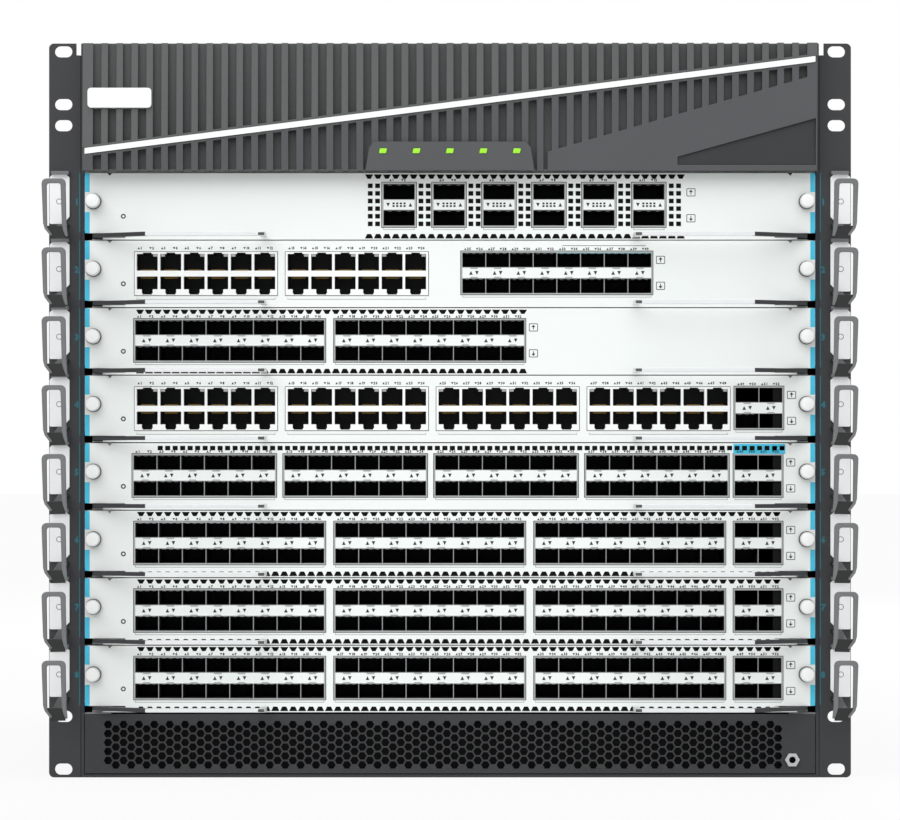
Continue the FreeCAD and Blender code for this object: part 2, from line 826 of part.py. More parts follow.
def hexagon(sketch, x, z, across):
    """A hexagon with flats above and below."""
    flat = f"({across}) / 2"
    point = f"({across}) / sqrt(3)"
    half_point = f"({across}) / sqrt(12)"
    polygon(
        sketch,
        [
            (f"{x} + {point}", z),
            (f"{x} + {half_point}", f"{z} + {flat}"),
            (f"{x} - {half_point}", f"{z} + {flat}"),
            (f"{x} - {point}", z),
            (f"{x} - {half_point}", f"{z} - {flat}"),
            (f"{x} + {half_point}", f"{z} - {flat}"),
        ],
    )


def esd_jack():
    """The wrist strap socket: a hexagon nut on the plate, a sleeve through it and one bore."""
    proud = "sizes.jack_proud"
    body = new_body("esd_jack", x="sizes.jack_x", y=f"{FRONT} - {proud}", z="sizes.jack_height")
    nut = new_sketch(body, "nut_outline", "XZ_Plane")
    hexagon(nut, "0", "0", "sizes.jack_nut")
    pad(body, nut, "nut", proud, backwards=True)
    sleeve = new_sketch(body, "sleeve_outline", "XZ_Plane")
    circle(sleeve, "0", "0", "sizes.jack_sleeve")
    pad(body, sleeve, "sleeve", "sizes.jack_length", backwards=True)
    bore = new_sketch(body, "bore_outline", "XZ_Plane")
    circle(bore, "0", "0", "sizes.jack_bore")
    pocket(body, bore, "bore", "sizes.jack_length")
    return body


# ---------------------------------------------------------------- cards


def layout_of(slot):
    """The port banks of a slot, the lowest slots being alike."""
    return LAYOUTS[min(slot, len(LAYOUTS) - 1)]


def card_top(slot):
    """Height of a card's upper edge."""
    return f"({BAY_TOP} - {slot} * sizes.card_pitch - sizes.card_gap / 2)"


def bank_sizes(kind, columns):
    """Expressions for a bank: wall between ports, pitch, whole width and height of both rows."""
    if kind == "quad":
        wall = "sizes.quad_wall"
        pitch = "(sizes.quad_width + sizes.quad_wall)"
    else:
        wall = f"(sizes.{kind}_pitch - sizes.{kind}_width)"
        pitch = f"sizes.{kind}_pitch"
    width = f"({columns} * {pitch} + {wall})"
    height = f"(2 * sizes.{kind}_height + sizes.{kind}_middle)"
    return wall, pitch, width, height


def card_panel(slot, name):
    """The face plate, with its lowered middle, alignment notches and port windows."""
    body = new_body(name, y=FRONT, z=card_top(slot))
    sketch = new_sketch(body, f"{name}_outline", "XZ_Plane")
    polygon(sketch, panel_outline())
    for kind, left, columns in layout_of(slot):
        wall, _, width, height = bank_sizes(kind, columns)
        gap = "sizes.window_gap"
        rectangle(
            sketch,
            f"{left} - {wall} - {gap}",
            "-sizes.ports_bottom",
            f"{width} + 2 * {gap}",
            height,
        )
    pad(body, sketch, f"{name}_plate", "sizes.panel_thickness", backwards=True)
    far = amount(PANEL_HALF) - 0.01

    def outer_corner(edge):
        return runs_along(edge, Vector(0, 1, 0)) and abs(edge.BoundBox.Center.x) > far

    bevel_edges(body, f"{name}_corners", "sizes.panel_corner", outer_corner)
    return body


def panel_outline():
    """The face plate's corners, clockwise from the upper left."""
    middle = f"({PANEL_HALF} - sizes.panel_end_width)"
    notch = f"({PANEL_HALF} - sizes.notch_inset)"
    half = "sizes.notch_width / 2"
    end_low = "-sizes.panel_end_height"
    low = f"-{PANEL_HEIGHT}"
    deep = "-sizes.notch_depth"
    return [
        (f"-{PANEL_HALF}", "0"),
        (f"-{notch} - {half}", "0"),
        (f"-{notch}", deep),
        (f"-{notch} + {half}", "0"),
        (f"{notch} - {half}", "0"),
        (notch, deep),
        (f"{notch} + {half}", "0"),
        (PANEL_HALF, "0"),
        (PANEL_HALF, end_low),
        (middle, end_low),
        (middle, low),
        (f"-{middle}", low),
        (f"-{middle}", end_low),
        (f"-{PANEL_HALF}", end_low),
    ]


def card_tray(slot, name):
    """The card's floor sheet, its front corners cut away beside the lever hubs."""
    start = f"{FRONT} + sizes.panel_thickness"
    body = new_body(name, y=start, z=f"{card_top(slot)} - {PANEL_HEIGHT}")
    sketch = new_sketch(body, f"{name}_outline", "XY_Plane")
    half = "sizes.tray_width / 2"
    inner = f"({half} - sizes.tray_relief_width)"
    deep = "sizes.tray_relief_depth"
    back = "sizes.card_depth - sizes.panel_thickness"
    polygon(
        sketch,
        [
            (f"-{inner}", "0"),
            (inner, "0"),
            (half, deep),
            (half, back),
            (f"-{half}", back),
            (f"-{half}", deep),
        ],
    )
    pad(body, sketch, f"{name}_sheet", "sizes.tray_thickness")
    return body


def card_board(slot, name):
    """Everything behind a face plate: tray, circuit board, coolers, rear plug and port cages."""
    top = card_top(slot)
    tray_top = f"({top} - {PANEL_HEIGHT} + sizes.tray_thickness)"
    board_top = f"({top} - sizes.ports_bottom)"
    board_low = f"({board_top} - sizes.board_thickness)"
    behind = f"({FRONT} + sizes.panel_thickness + sizes.window_gap)"
    back = f"({FRONT} + sizes.card_depth)"
    pieces = [card_tray(slot, f"{name}_tray")]
    pieces.append(
        box(
            f"{name}_circuit",
            ("-sizes.board_width / 2", behind, board_low),
            ("sizes.board_width", f"{back} - {behind}", "sizes.board_thickness"),
        )
    )
    for side in (-1, 1):
        pieces.append(
            box(
                f"{name}_support_{'lr'[side > 0]}",
                (f"{side} * sizes.support_x - sizes.support_width / 2", f"{behind} + sizes.hub_y", tray_top),
                ("sizes.support_width", f"{back} - {behind} - sizes.hub_y", f"{board_low} - {tray_top}"),
            )
        )
        pieces.append(
            box(
                f"{name}_cooler_{'lr'[side > 0]}",
                (
                    f"{side} * sizes.cooler_pitch / 2 - sizes.cooler_width / 2",
                    f"{FRONT} + sizes.cooler_start",
                    board_top,
                ),
                ("sizes.cooler_width", "sizes.cooler_depth", "sizes.cooler_height"),
            )
        )
    pieces.append(
        box(
            f"{name}_plug",
            ("-sizes.plug_width / 2", f"{back} - sizes.plug_depth", board_top),
            ("sizes.plug_width", "sizes.plug_depth", "sizes.plug_height"),
        )
    )
    for number, (kind, left, columns) in enumerate(layout_of(slot)):
        pieces += port_bank(f"{name}_bank{number}", kind, left, columns, top)
    pieces += cage_covers(name, layout_of(slot), top, behind)
    return gather(name, pieces)


def cage_covers(name, layout, top, behind):
    """A roof and a rear sheet over all the banks of a kind on one card."""
    covers = []
    low = f"({top} - sizes.ports_bottom)"
    sheet_size = "sizes.cage_sheet"
    for kind in sorted({bank[0] for bank in layout}):
        banks = [bank for bank in layout if bank[0] == kind]
        wall, _, _, height = bank_sizes(kind, 1)
        _, _, last_width, _ = bank_sizes(kind, banks[-1][2])
        left = f"({banks[0][1]} - {wall})"
        width = f"({banks[-1][1]} - {wall} + {last_width} - {left})"
        end = f"({FRONT} + sizes.window_gap / 2 + sizes.{kind}_depth)"
        corner = (left, behind, f"{low} + {height}")
        covers.append(box(f"{name}_{kind}_roof", corner, (width, f"{end} - {behind}", sheet_size)))
        covers.append(box(f"{name}_{kind}_rear", (left, end, low), (width, sheet_size, height)))
    return covers


def port_bank(name, kind, left, columns, top):
    """Two rows of sockets: upright walls that stand on the circuit board, and a web between the rows."""
    wall, pitch, _, height = bank_sizes(kind, columns)
    low = f"{top} - sizes.ports_bottom"
    start = f"({FRONT} + sizes.window_gap / 2)"
    depth = f"sizes.{kind}_depth"
    walls = new_body(f"{name}_walls", x=f"{left} - {wall}", y=start, z=low, several=True)
    sketch = new_sketch(walls, f"{name}_wall_outline", "XZ_Plane")
    rectangle(sketch, "0", "0", wall, height)
    upright = pad(walls, sketch, f"{name}_wall", depth, backwards=True)
    repeat(walls, upright, f"{name}_wall_row", "X_Axis", f"{columns} + 1", f"{columns} * {pitch}")
    webs = new_body(f"{name}_webs", x=left, y=start, z=f"{low} + sizes.{kind}_height", several=True)
    web_sketch = new_sketch(webs, f"{name}_web_outline", "XZ_Plane")
    rectangle(web_sketch, "0", "0", f"{pitch} - {wall}", f"sizes.{kind}_middle")
    web = pad(webs, web_sketch, f"{name}_web", depth, backwards=True)
    if columns > 1:
        repeat(webs, web, f"{name}_web_row", "X_Axis", f"{columns}", f"{columns - 1} * {pitch}")
    return [walls, webs]


def lever_points(side):
    """The ejector lever seen from above, from its hub: claw, shank, slanting arm, grip and tail."""
    arm = "sizes.lever_arm"
    shank = "sizes.lever_shank"
    out = "-sizes.lever_stand_off"
    bend = "sizes.lever_bend_x"
    tip = "sizes.lever_length"
    outline = [
        (f"-{shank}", f"-{shank} / 4"),
        (f"-{shank}", f"-1.8 * {shank}"),
        (bend, out),
        (tip, out),
        (tip, "-sizes.lever_tail"),
        (f"{tip} - 0.8 * {arm}", "-sizes.lever_tail"),
        (f"{tip} - 0.8 * {arm}", f"{out} + {arm}"),
        (f"{bend} + 0.4 * {arm}", f"{out} + {arm}"),
        (f"0.2 * {shank}", f"-1.5 * {shank}"),
        (shank, f"-0.6 * {shank}"),
        (shank, f"0.7 * {shank}"),
        (f"-0.4 * {shank}", f"1.4 * {shank}"),
        (f"-1.3 * {shank}", f"1.1 * {shank}"),
    ]
    return [(f"{side} * ({x})", y) for x, y in outline]


def ejector_lever(slot, side, name):
    """A flat lever that turns about an upright axis.  It lies along the card's lower edge."""
    low = f"{card_top(slot)} - sizes.panel_end_height - sizes.lever_gap - sizes.lever_thickness"
    body = new_body(name, x=f"{side} * ({PANEL_HALF} - sizes.hub_inset)", y=f"{FRONT} + sizes.hub_y", z=low)
    sketch = new_sketch(body, f"{name}_plan", "XY_Plane")
    polygon(sketch, lever_points(-side))
    pad(body, sketch, f"{name}_plate", "sizes.lever_thickness")
    out = -amount("sizes.lever_stand_off") + 0.01

    def grip_corner(edge):
        return runs_along(edge, Vector(0, 0, 1)) and edge.BoundBox.Center.y < out

    bevel_edges(body, f"{name}_bends", "sizes.lever_bend", grip_corner)
    return body


def card_screws(slot, name):
    """The two captive screws that hold the card in its slot, with many-sided finger caps."""
    screws = []
    for side in (-1, 1):
        screw = doc.addObject("Part::Prism", f"{name}_{'lr'[side > 0]}")
        screw.Placement.Rotation = FreeCAD.Rotation(Vector(1, 0, 0), 90)
        screw.setExpression("Polygon", "sizes.screw_flutes")
        screw.setExpression("Circumradius", "sizes.screw_radius")
        screw.setExpression("Height", "sizes.screw_length")
        across = f"{side} * ({PANEL_HALF} - sizes.screw_inset)"
        screws.append(place(screw, across, FRONT, f"{card_top(slot)} - sizes.screw_drop"))
    return gather(name, screws)


# ---------------------------------------------------------------- backplane and rear modules


def backplane():
    """The upright board that every card plugs into, with a socket for each slot."""
    low = "(sizes.intake_height + sizes.running_gap)"
    front = f"{FRONT} + sizes.backplane_start"
    board = box(
        "backplane_board",
        (f"-{MODULE_HALF}", front, low),
        (f"2 * {MODULE_HALF}", "sizes.backplane_thickness", f"{BAY_TOP} - {low}"),
    )
    sockets = []
    reach = "(sizes.backplane_start - sizes.card_depth - sizes.running_gap)"
    for slot in range(SIZES["slots"]):
        board_top = f"{card_top(slot)} - sizes.ports_bottom"
        sockets.append(
            box(
                f"backplane_socket_{slot + 1}",
                ("-sizes.plug_width / 2", f"{front} - {reach}", board_top),
                ("sizes.plug_width", reach, "sizes.plug_height"),
            )
        )
    return gather("backplane", [board] + sockets)


def handle(body, name, x, z, y):
    """A bow handle across the back of a module."""
    sketch = new_sketch(body, f"{name}_bow", "XY_Plane", offset=z)
    half = "sizes.handle_width / 2"
    bar = "sizes.handle_bar"
    reach = f"{y} + sizes.rear_reach"
    polygon(
        sketch,
        [
            (f"{x} - {half}", y),
            (f"{x} - {half}", reach),
            (f"{x} + {half}", reach),
            (f"{x} + {half}", y),
            (f"{x} + {half} - {bar}", y),
            (f"{x} + {half} - {bar}", f"{reach} - {bar}"),
            (f"{x} - {half} + {bar}", f"{reach} - {bar}"),
            (f"{x} - {half} + {bar}", y),
        ],
    )
    return pad(body, sketch, name, bar)


def half_left(side):
    """Left edge of a rear module that fills one half of the chassis."""
    if side < 0:
        return f"-{MODULE_HALF}"
    return "sizes.module_gap / 2"


HALF_WIDTH = f"({MODULE_HALF} - sizes.module_gap / 2)"


def power_supply(side, name):
    """A closed supply with a mains inlet and a handle at the back."""
    low = "(sizes.chassis_wall + sizes.module_gap)"
    depth = "(sizes.chassis_depth - sizes.rear_start)"
    body = new_body(name, x=half_left(side), y=f"{FRONT} + sizes.rear_start", z=low)
    sketch = new_sketch(body, f"{name}_outline", "XZ_Plane")
    rectangle(sketch, "0", "0", HALF_WIDTH, "sizes.supply_height")
    pad(body, sketch, f"{name}_case", depth, backwards=True)
    handle(body, f"{name}_handle", f"{HALF_WIDTH} - sizes.inlet_x", "sizes.supply_height / 2", depth)
    inlet = new_sketch(body, f"{name}_inlet_outline", "XZ_Plane", offset=f"-{depth}")
    x = "sizes.inlet_x - sizes.inlet_width / 2"
    z = "sizes.supply_height / 2 - sizes.inlet_height / 2"
    rectangle(inlet, x, z, "sizes.inlet_width", "sizes.inlet_height")
    pocket(body, inlet, f"{name}_inlet", "sizes.inlet_depth", backwards=True)
    return body


def fan_tray(side, name):
    """An open box with a round outlet at the back and a spider that carries the rotor."""
    body = new_body(name, x=half_left(side), y=f"{FRONT} + sizes.chassis_depth", z=f"{FAN_LOW} + sizes.module_gap")
    outline = new_sketch(body, f"{name}_outline", "XZ_Plane")
    rectangle(outline, "0", "0", HALF_WIDTH, "sizes.fan_height")
    pad(body, outline, f"{name}_block", "sizes.fan_depth")
    inside = new_sketch(body, f"{name}_inside", "XZ_Plane", offset="sizes.fan_sheet")
    wall = "sizes.fan_sheet"
    rectangle(inside, wall, wall, f"{HALF_WIDTH} - 2 * {wall}", f"sizes.fan_height - 2 * {wall}")
    pocket(body, inside, f"{name}_hollow", "sizes.fan_depth", backwards=True)
    centre = f"{HALF_WIDTH} / 2"
    level = "sizes.fan_height / 2"
    outlet = new_sketch(body, f"{name}_outlet_outline", "XZ_Plane")
    circle(outlet, centre, level, "sizes.fan_radius")
    pocket(body, outlet, f"{name}_outlet", "2 * sizes.fan_sheet", backwards=True)
    spider = new_sketch(body, f"{name}_spider_outline", "XZ_Plane", offset="sizes.fan_depth - sizes.spider_depth")
    rectangle(spider, wall, f"{level} - sizes.spider_width / 2", f"{HALF_WIDTH} - 2 * {wall}", "sizes.spider_width")
    pad(body, spider, f"{name}_spider", "sizes.spider_depth")
    handle(body, f"{name}_handle", centre, "sizes.fan_height - 3 * sizes.handle_bar", "-sizes.fan_sheet / 2")
    return body


def fan_rotor(side, name):
    """Hub and slanting blades in one moulding."""
    x = f"({half_left(side)} + {HALF_WIDTH} / 2)"
    z = f"({FAN_LOW} + sizes.module_gap + sizes.fan_height / 2)"
    y = f"({FRONT} + sizes.chassis_depth - sizes.fan_depth + sizes.spider_depth)"
    body = new_body(name, x=x, y=y, z=z)
    hub = new_sketch(body, f"{name}_hub_section", "XZ_Plane", offset="-sizes.running_gap")
    turns = [f"({k} * 360 / sizes.hub_sides)" for k in range(SIZES["hub_sides"])]
    polygon(hub, [(f"sizes.rotor_hub * cos({turn})", f"sizes.rotor_hub * sin({turn})") for turn in turns])
    pad(body, hub, f"{name}_hub", "sizes.rotor_depth", backwards=True)
    blade = new_sketch(body, f"{name}_blade_section", "YZ_Plane", offset="sizes.rotor_hub * 0.8")
    middle = "(sizes.running_gap + sizes.rotor_depth / 2)"
    run = f"(sizes.rotor_depth * 0.42)"
    rise = f"({run} * tan(sizes.blade_pitch_angle))"
    thick = "sizes.blade_thickness / 2"
    polygon(
        blade,
        [
            (f"{middle} - {run}", f"-{rise} - {thick}"),
            (f"{middle} + {run}", f"{rise} - {thick}"),
            (f"{middle} + {run}", f"{rise} + {thick}"),
            (f"{middle} - {run}", f"-{rise} + {thick}"),
        ],
    )
    reach = "sizes.fan_radius - sizes.rotor_gap - sizes.rotor_hub * 0.8 - sizes.blade_thickness"
    arm = pad(body, blade, f"{name}_blade", reach)
    ring = body.newObject("PartDesign::PolarPattern", f"{name}_blades")
    ring.Originals = [arm]
    ring.Axis = (origin_feature(body, "Y_Axis"), [""])
    ring.Angle = 360
    ring.setExpression("Occurrences", "sizes.blade_count")
    body.Tip = ring
    return body


def management_module():
    """The wide control module above the fans: tray, circuit board and handled back plate."""
    low = f"({FAN_HIGH} + sizes.shelf_thickness + sizes.running_gap)"
    high = f"({TOP} - sizes.chassis_wall - sizes.running_gap)"
    front = f"({FRONT} + sizes.rear_start)"
    depth = "(sizes.chassis_depth - sizes.rear_start - sizes.fan_sheet)"
    thick = "sizes.tray_thickness"
    width = f"2 * {MODULE_HALF}"
    tray = box("control_tray", (f"-{MODULE_HALF}", front, low), (width, depth, thick))
    level = f"{low} + {thick} + sizes.board_rise"
    board = box(
        "control_board",
        ("-sizes.board_width / 2", front, level),
        ("sizes.board_width", depth, "sizes.board_thickness"),
    )
    supports = [
        box(
            f"control_support_{'lr'[side > 0]}",
            (f"{side} * sizes.support_x - sizes.support_width / 2", front, f"{low} + {thick}"),
            ("sizes.support_width", depth, "sizes.board_rise"),
        )
        for side in (-1, 1)
    ]
    plate = new_body("control_plate", y=f"{FRONT} + sizes.chassis_depth", z=low)
    outline = new_sketch(plate, "control_plate_outline", "XZ_Plane")
    rectangle(outline, f"-{MODULE_HALF}", "0", width, f"{high} - {low}")
    pad(plate, outline, "control_plate_sheet", "sizes.fan_sheet")
    for side in (-1, 1):
        word = "lr"[side > 0]
        middle = f"({high} - {low}) / 2"
        handle(plate, f"control_handle_{word}", f"{side} * sizes.support_x", middle, "-sizes.fan_sheet / 2")
    return gather("management_module", [tray, board, plate] + supports)


# ---------------------------------------------------------------- whole


def build_parts():
    """Every sub-part, in the order a bench would lay them out."""
    parts = [chassis_shell(), top_cover(), slot_rails(), inner_shelves()]
    parts += [rack_ear(-1, "rack_ear_left"), rack_ear(1, "rack_ear_right"), cable_guides()]
    parts += [top_bezel(), accent_bar(), status_lights(), intake_grille(), esd_jack()]
    parts += [backplane(), management_module()]
    for side, word in ((-1, "left"), (1, "right")):
        parts.append(power_supply(side, f"power_supply_{word}"))
        parts.append(fan_tray(side, f"fan_tray_{word}"))
        parts.append(fan_rotor(side, f"fan_rotor_{word}"))
    for slot in range(SIZES["slots"]):
        number = slot + 1
        parts.append(card_panel(slot, f"card_{number}_panel"))
        parts.append(card_board(slot, f"card_{number}_board"))
        parts.append(card_screws(slot, f"card_{number}_screws"))
        parts.append(ejector_lever(slot, -1, f"lever_{number}_left"))
        parts.append(ejector_lever(slot, 1, f"lever_{number}_right"))
    return parts


def check_document():
    """Stops if any object of the document failed to build."""
    for item in doc.Objects:
        if "Invalid" in item.State or "Error" in item.State:
            raise RuntimeError(f"{item.Label} failed: {item.State}")


def export_parts(parts):
    """Writes each sub-part to its own file."""
    os.makedirs("parts", exist_ok=True)
    for part in parts:
        shape = part.Shape
        if shape.isNull() or not shape.isValid() or shape.Volume <= 0:
            raise RuntimeError(f"{part.Label} has no sound shape")
        shape.exportStep(f"parts/{part.Label}.step")


def main():
    parts = build_parts()
    doc.recompute()
    check_document()
    export_parts(parts)
    print(f"{len(parts)} parts, {sum(len(part.Shape.Solids) for part in parts)} solids")


main()
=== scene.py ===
"""Looks of an eight-slot chassis switch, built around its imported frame.

Sizes are in millimetres and turn into metres where a mesh is made.  X runs to the right of
the front, Y to the back and Z up.
"""

import logging
import math
from dataclasses import dataclass
from enum import Enum

import bpy
import numpy as np
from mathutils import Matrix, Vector
from mathutils.geometry import delaunay_2d_cdt, tessellate_polygon


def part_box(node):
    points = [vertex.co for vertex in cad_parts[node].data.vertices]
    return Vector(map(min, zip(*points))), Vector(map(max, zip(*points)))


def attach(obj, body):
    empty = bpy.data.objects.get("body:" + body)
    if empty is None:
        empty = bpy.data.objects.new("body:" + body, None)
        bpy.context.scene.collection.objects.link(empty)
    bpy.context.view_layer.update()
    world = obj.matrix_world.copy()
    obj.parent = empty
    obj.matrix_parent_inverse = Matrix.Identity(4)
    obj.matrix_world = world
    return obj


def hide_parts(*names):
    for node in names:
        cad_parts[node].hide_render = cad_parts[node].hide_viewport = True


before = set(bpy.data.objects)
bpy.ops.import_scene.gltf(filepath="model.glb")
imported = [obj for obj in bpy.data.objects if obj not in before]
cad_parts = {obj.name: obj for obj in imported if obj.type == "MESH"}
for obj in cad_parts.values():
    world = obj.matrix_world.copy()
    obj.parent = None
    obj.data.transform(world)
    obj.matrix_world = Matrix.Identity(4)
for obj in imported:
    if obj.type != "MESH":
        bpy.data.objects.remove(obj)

logging.basicConfig(level=logging.INFO, format="%(message)s")
log = logging.getLogger("scene")

MM = 0.001
Loop = list[tuple[float, float]]
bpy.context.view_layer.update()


# ---------------------------------------------------------------- finishes


def linear(hex_colour: str) -> tuple[float, float, float, float]:
    """Turns an sRGB hex colour into the linear values that shaders take.

    Args:
        hex_colour: six hex digits after a hash.

    Returns:
        Red, green, blue and an alpha of one.
    """
    parts = [int(hex_colour[k : k + 2], 16) / 255 for k in (1, 3, 5)]
    lit = [c / 12.92 if c <= 0.04045 else ((c + 0.055) / 1.055) ** 2.4 for c in parts]
    return (lit[0], lit[1], lit[2], 1.0)


def add_node(
    tree: bpy.types.NodeTree, kind: str, inputs: dict | None = None, **settings
) -> bpy.types.Node:
    """Adds a shader node with its settings, values and links.

    Args:
        tree: the material's node tree.
        kind: the node's type name.
        inputs: values or other nodes' sockets, by input name or number.
        settings: the node's own properties.

    Returns:
        The new node.
    """
    node = tree.nodes.new(kind)
    for key, value in settings.items():
        setattr(node, key, value)
    for key, value in (inputs or {}).items():
        if isinstance(value, bpy.types.NodeSocket):
            tree.links.new(value, node.inputs[key])
        else:
            node.inputs[key].default_value = value
    return node


@dataclass(frozen=True)
class Finish:
    """A fine-grained paint or moulded plastic.

    The colour drifts a little over large patches, and the grain lifts the surface and
    makes the gloss uneven.
    """

    name: str
    colour: str
    drift: float = 0.04
    drift_mm: float = 60.0
    roughness: float = 0.45
    unevenness: float = 0.08
    grain_mm: float = 0.5
    relief: float = 0.12
    metallic: float = 0.0
    coat: float = 0.0
    shine: float = 0.5

    def place(self, tree: bpy.types.NodeTree) -> bpy.types.NodeSocket:
        """The object's own coordinates."""
        return add_node(tree, "ShaderNodeTexCoord").outputs["Object"]

    def noise(self, tree: bpy.types.NodeTree, size_mm: float) -> bpy.types.Node:
        """A noise whose patches are about size_mm across."""
        inputs = {"Vector": self.place(tree), "Scale": 1 / (size_mm * MM), "Detail": 3.0}
        return add_node(tree, "ShaderNodeTexNoise", inputs)

    def spread(self, tree: bpy.types.NodeTree, value, low: float, high: float) -> bpy.types.Node:
        """Maps a noise's middle range onto low to high."""
        inputs = {"Value": value, "From Min": 0.3, "From Max": 0.7, "To Min": low, "To Max": high}
        return add_node(tree, "ShaderNodeMapRange", inputs)

    def shade(self, value: float) -> tuple[float, float, float, float]:
        """The colour, lighter or darker by a share."""
        base = linear(self.colour)
        return (*[min(1.0, c * (1 + value)) for c in base[:3]], 1.0)

    def tint(self, tree: bpy.types.NodeTree) -> bpy.types.NodeSocket:
        """The drifting colour."""
        patches = self.noise(tree, self.drift_mm)
        share = self.spread(tree, patches.outputs["Fac"], 0.0, 1.0)
        inputs = {
            "Factor": share.outputs["Result"],
            6: self.shade(-self.drift),
            7: self.shade(self.drift),
        }
        mix = add_node(tree, "ShaderNodeMix", inputs, data_type="RGBA")
        return mix.outputs[2]

    def grain(self, tree: bpy.types.NodeTree) -> bpy.types.Node:
        """The noise of the surface's own texture."""
        return self.noise(tree, self.grain_mm)

    def start(self) -> tuple[bpy.types.Material, bpy.types.NodeTree, bpy.types.Node]:
        """Makes a material in the drifting colour, and gives it with its tree and shader."""
        material = bpy.data.materials.new(self.name)
        material.use_nodes = True
        tree = material.node_tree
        shader = tree.nodes["Principled BSDF"]
        shader.inputs["Metallic"].default_value = self.metallic
        shader.inputs["Coat Weight"].default_value = self.coat
        shader.inputs["Specular IOR Level"].default_value = self.shine
        tree.links.new(self.tint(tree), shader.inputs["Base Color"])
        return material, tree, shader

    def build(self) -> bpy.types.Material:
        """Makes the material."""
        material, tree, shader = self.start()
        grain = self.grain(tree).outputs["Fac"]
        low, high = self.roughness - self.unevenness, self.roughness + self.unevenness
        gloss = self.spread(tree, grain, low, high)
        tree.links.new(gloss.outputs["Result"], shader.inputs["Roughness"])
        inputs = {"Height": grain, "Strength": self.relief, "Distance": 0.05 * MM}
        bump = add_node(tree, "ShaderNodeBump", inputs)
        tree.links.new(bump.outputs["Normal"], shader.inputs["Normal"])
        return material


@dataclass(frozen=True)
class Brushed(Finish):
    """Metal with fine streaks along one axis."""

    metallic: float = 0.9
    along: tuple[float, float, float] = (0.02, 1.0, 1.0)

    def grain(self, tree: bpy.types.NodeTree) -> bpy.types.Node:
        """A noise drawn out along the brushing."""
        inputs = {"Vector": self.place(tree), "Scale": self.along}
        drawn = add_node(tree, "ShaderNodeMapping", inputs).outputs["Vector"]
        inputs = {"Vector": drawn, "Scale": 1 / (self.grain_mm * MM), "Detail": 2.0}
        return add_node(tree, "ShaderNodeTexNoise", inputs)


@dataclass(frozen=True)
class Spangled(Finish):
    """Zinc-plated sheet, whose crystals catch the light differently."""

    metallic: float = 0.85

    def grain(self, tree: bpy.types.NodeTree) -> bpy.types.Node:
        """Flat cells of uneven size, in place of a noise."""
        inputs = {"Vector": self.place(tree), "Scale": 1 / (self.grain_mm * MM), "Randomness": 1.0}
        cells = add_node(tree, "ShaderNodeTexVoronoi", inputs)
        return add_node(tree, "ShaderNodeSeparateColor", {"Color": cells.outputs["Color"]})

    def build(self) -> bpy.types.Material:
        """Makes the material, with the cells driving gloss alone."""
        material, tree, shader = self.start()
        cells = self.grain(tree).outputs["Red"]
        low, high = self.roughness - self.unevenness, self.roughness + self.unevenness
        inputs = {"Value": cells, "To Min": low, "To Max": high}
        gloss = add_node(tree, "ShaderNodeMapRange", inputs)
        tree.links.new(gloss.outputs["Result"], shader.inputs["Roughness"])
        return material


@dataclass(frozen=True)
class Lamp(Finish):
    """A lit lens: its own light, in the drifting colour."""

    glow: float = 0.6

    def build(self) -> bpy.types.Material:
        """Makes the material."""
        material = super().build()
        tree = material.node_tree
        shader = tree.nodes["Principled BSDF"]
        tree.links.new(self.tint(tree), shader.inputs["Emission Color"])
        shader.inputs["Emission Strength"].default_value = self.glow
        return material


@dataclass(frozen=True)
class Laminate(Finish):
    """A circuit board: solder mask over a raster of straight copper runs."""

    copper: str = "#2F6B3C"
    run_mm: float = 2.4

    def tint(self, tree: bpy.types.NodeTree) -> bpy.types.NodeSocket:
        """The mask's colour, lighter over the copper."""
        inputs = {
            "Vector": self.place(tree),
            "Scale": 1.0,
            "Brick Width": 9 * self.run_mm * MM,
            "Row Height": self.run_mm * MM,
            "Mortar Size": 0.3 * self.run_mm * MM,
            "Color1": self.shade(self.drift),
            "Color2": self.shade(-self.drift),
            "Mortar": linear(self.copper),
        }
        return add_node(tree, "ShaderNodeTexBrick", inputs).outputs["Color"]


@dataclass(frozen=True)
class Backdrop(Finish):
    """The studio floor: for the camera a share of plain white is mixed in, so its shadows stay pale."""

    white: float = 0.88

    def build(self) -> bpy.types.Material:
        """Makes the material."""
        material = super().build()
        tree = material.node_tree
        shader, output = tree.nodes["Principled BSDF"], tree.nodes["Material Output"]
        plain = add_node(tree, "ShaderNodeEmission", {"Color": (1, 1, 1, 1), "Strength": 1.0})
        path = add_node(tree, "ShaderNodeLightPath")
        inputs = {0: path.outputs["Is Camera Ray"], 1: self.white}
        share = add_node(tree, "ShaderNodeMath", inputs, operation="MULTIPLY")
        inputs = {0: share.outputs[0], 1: shader.outputs[0], 2: plain.outputs[0]}
        mix = add_node(tree, "ShaderNodeMixShader", inputs)
        tree.links.new(mix.outputs[0], output.inputs["Surface"])
        return material


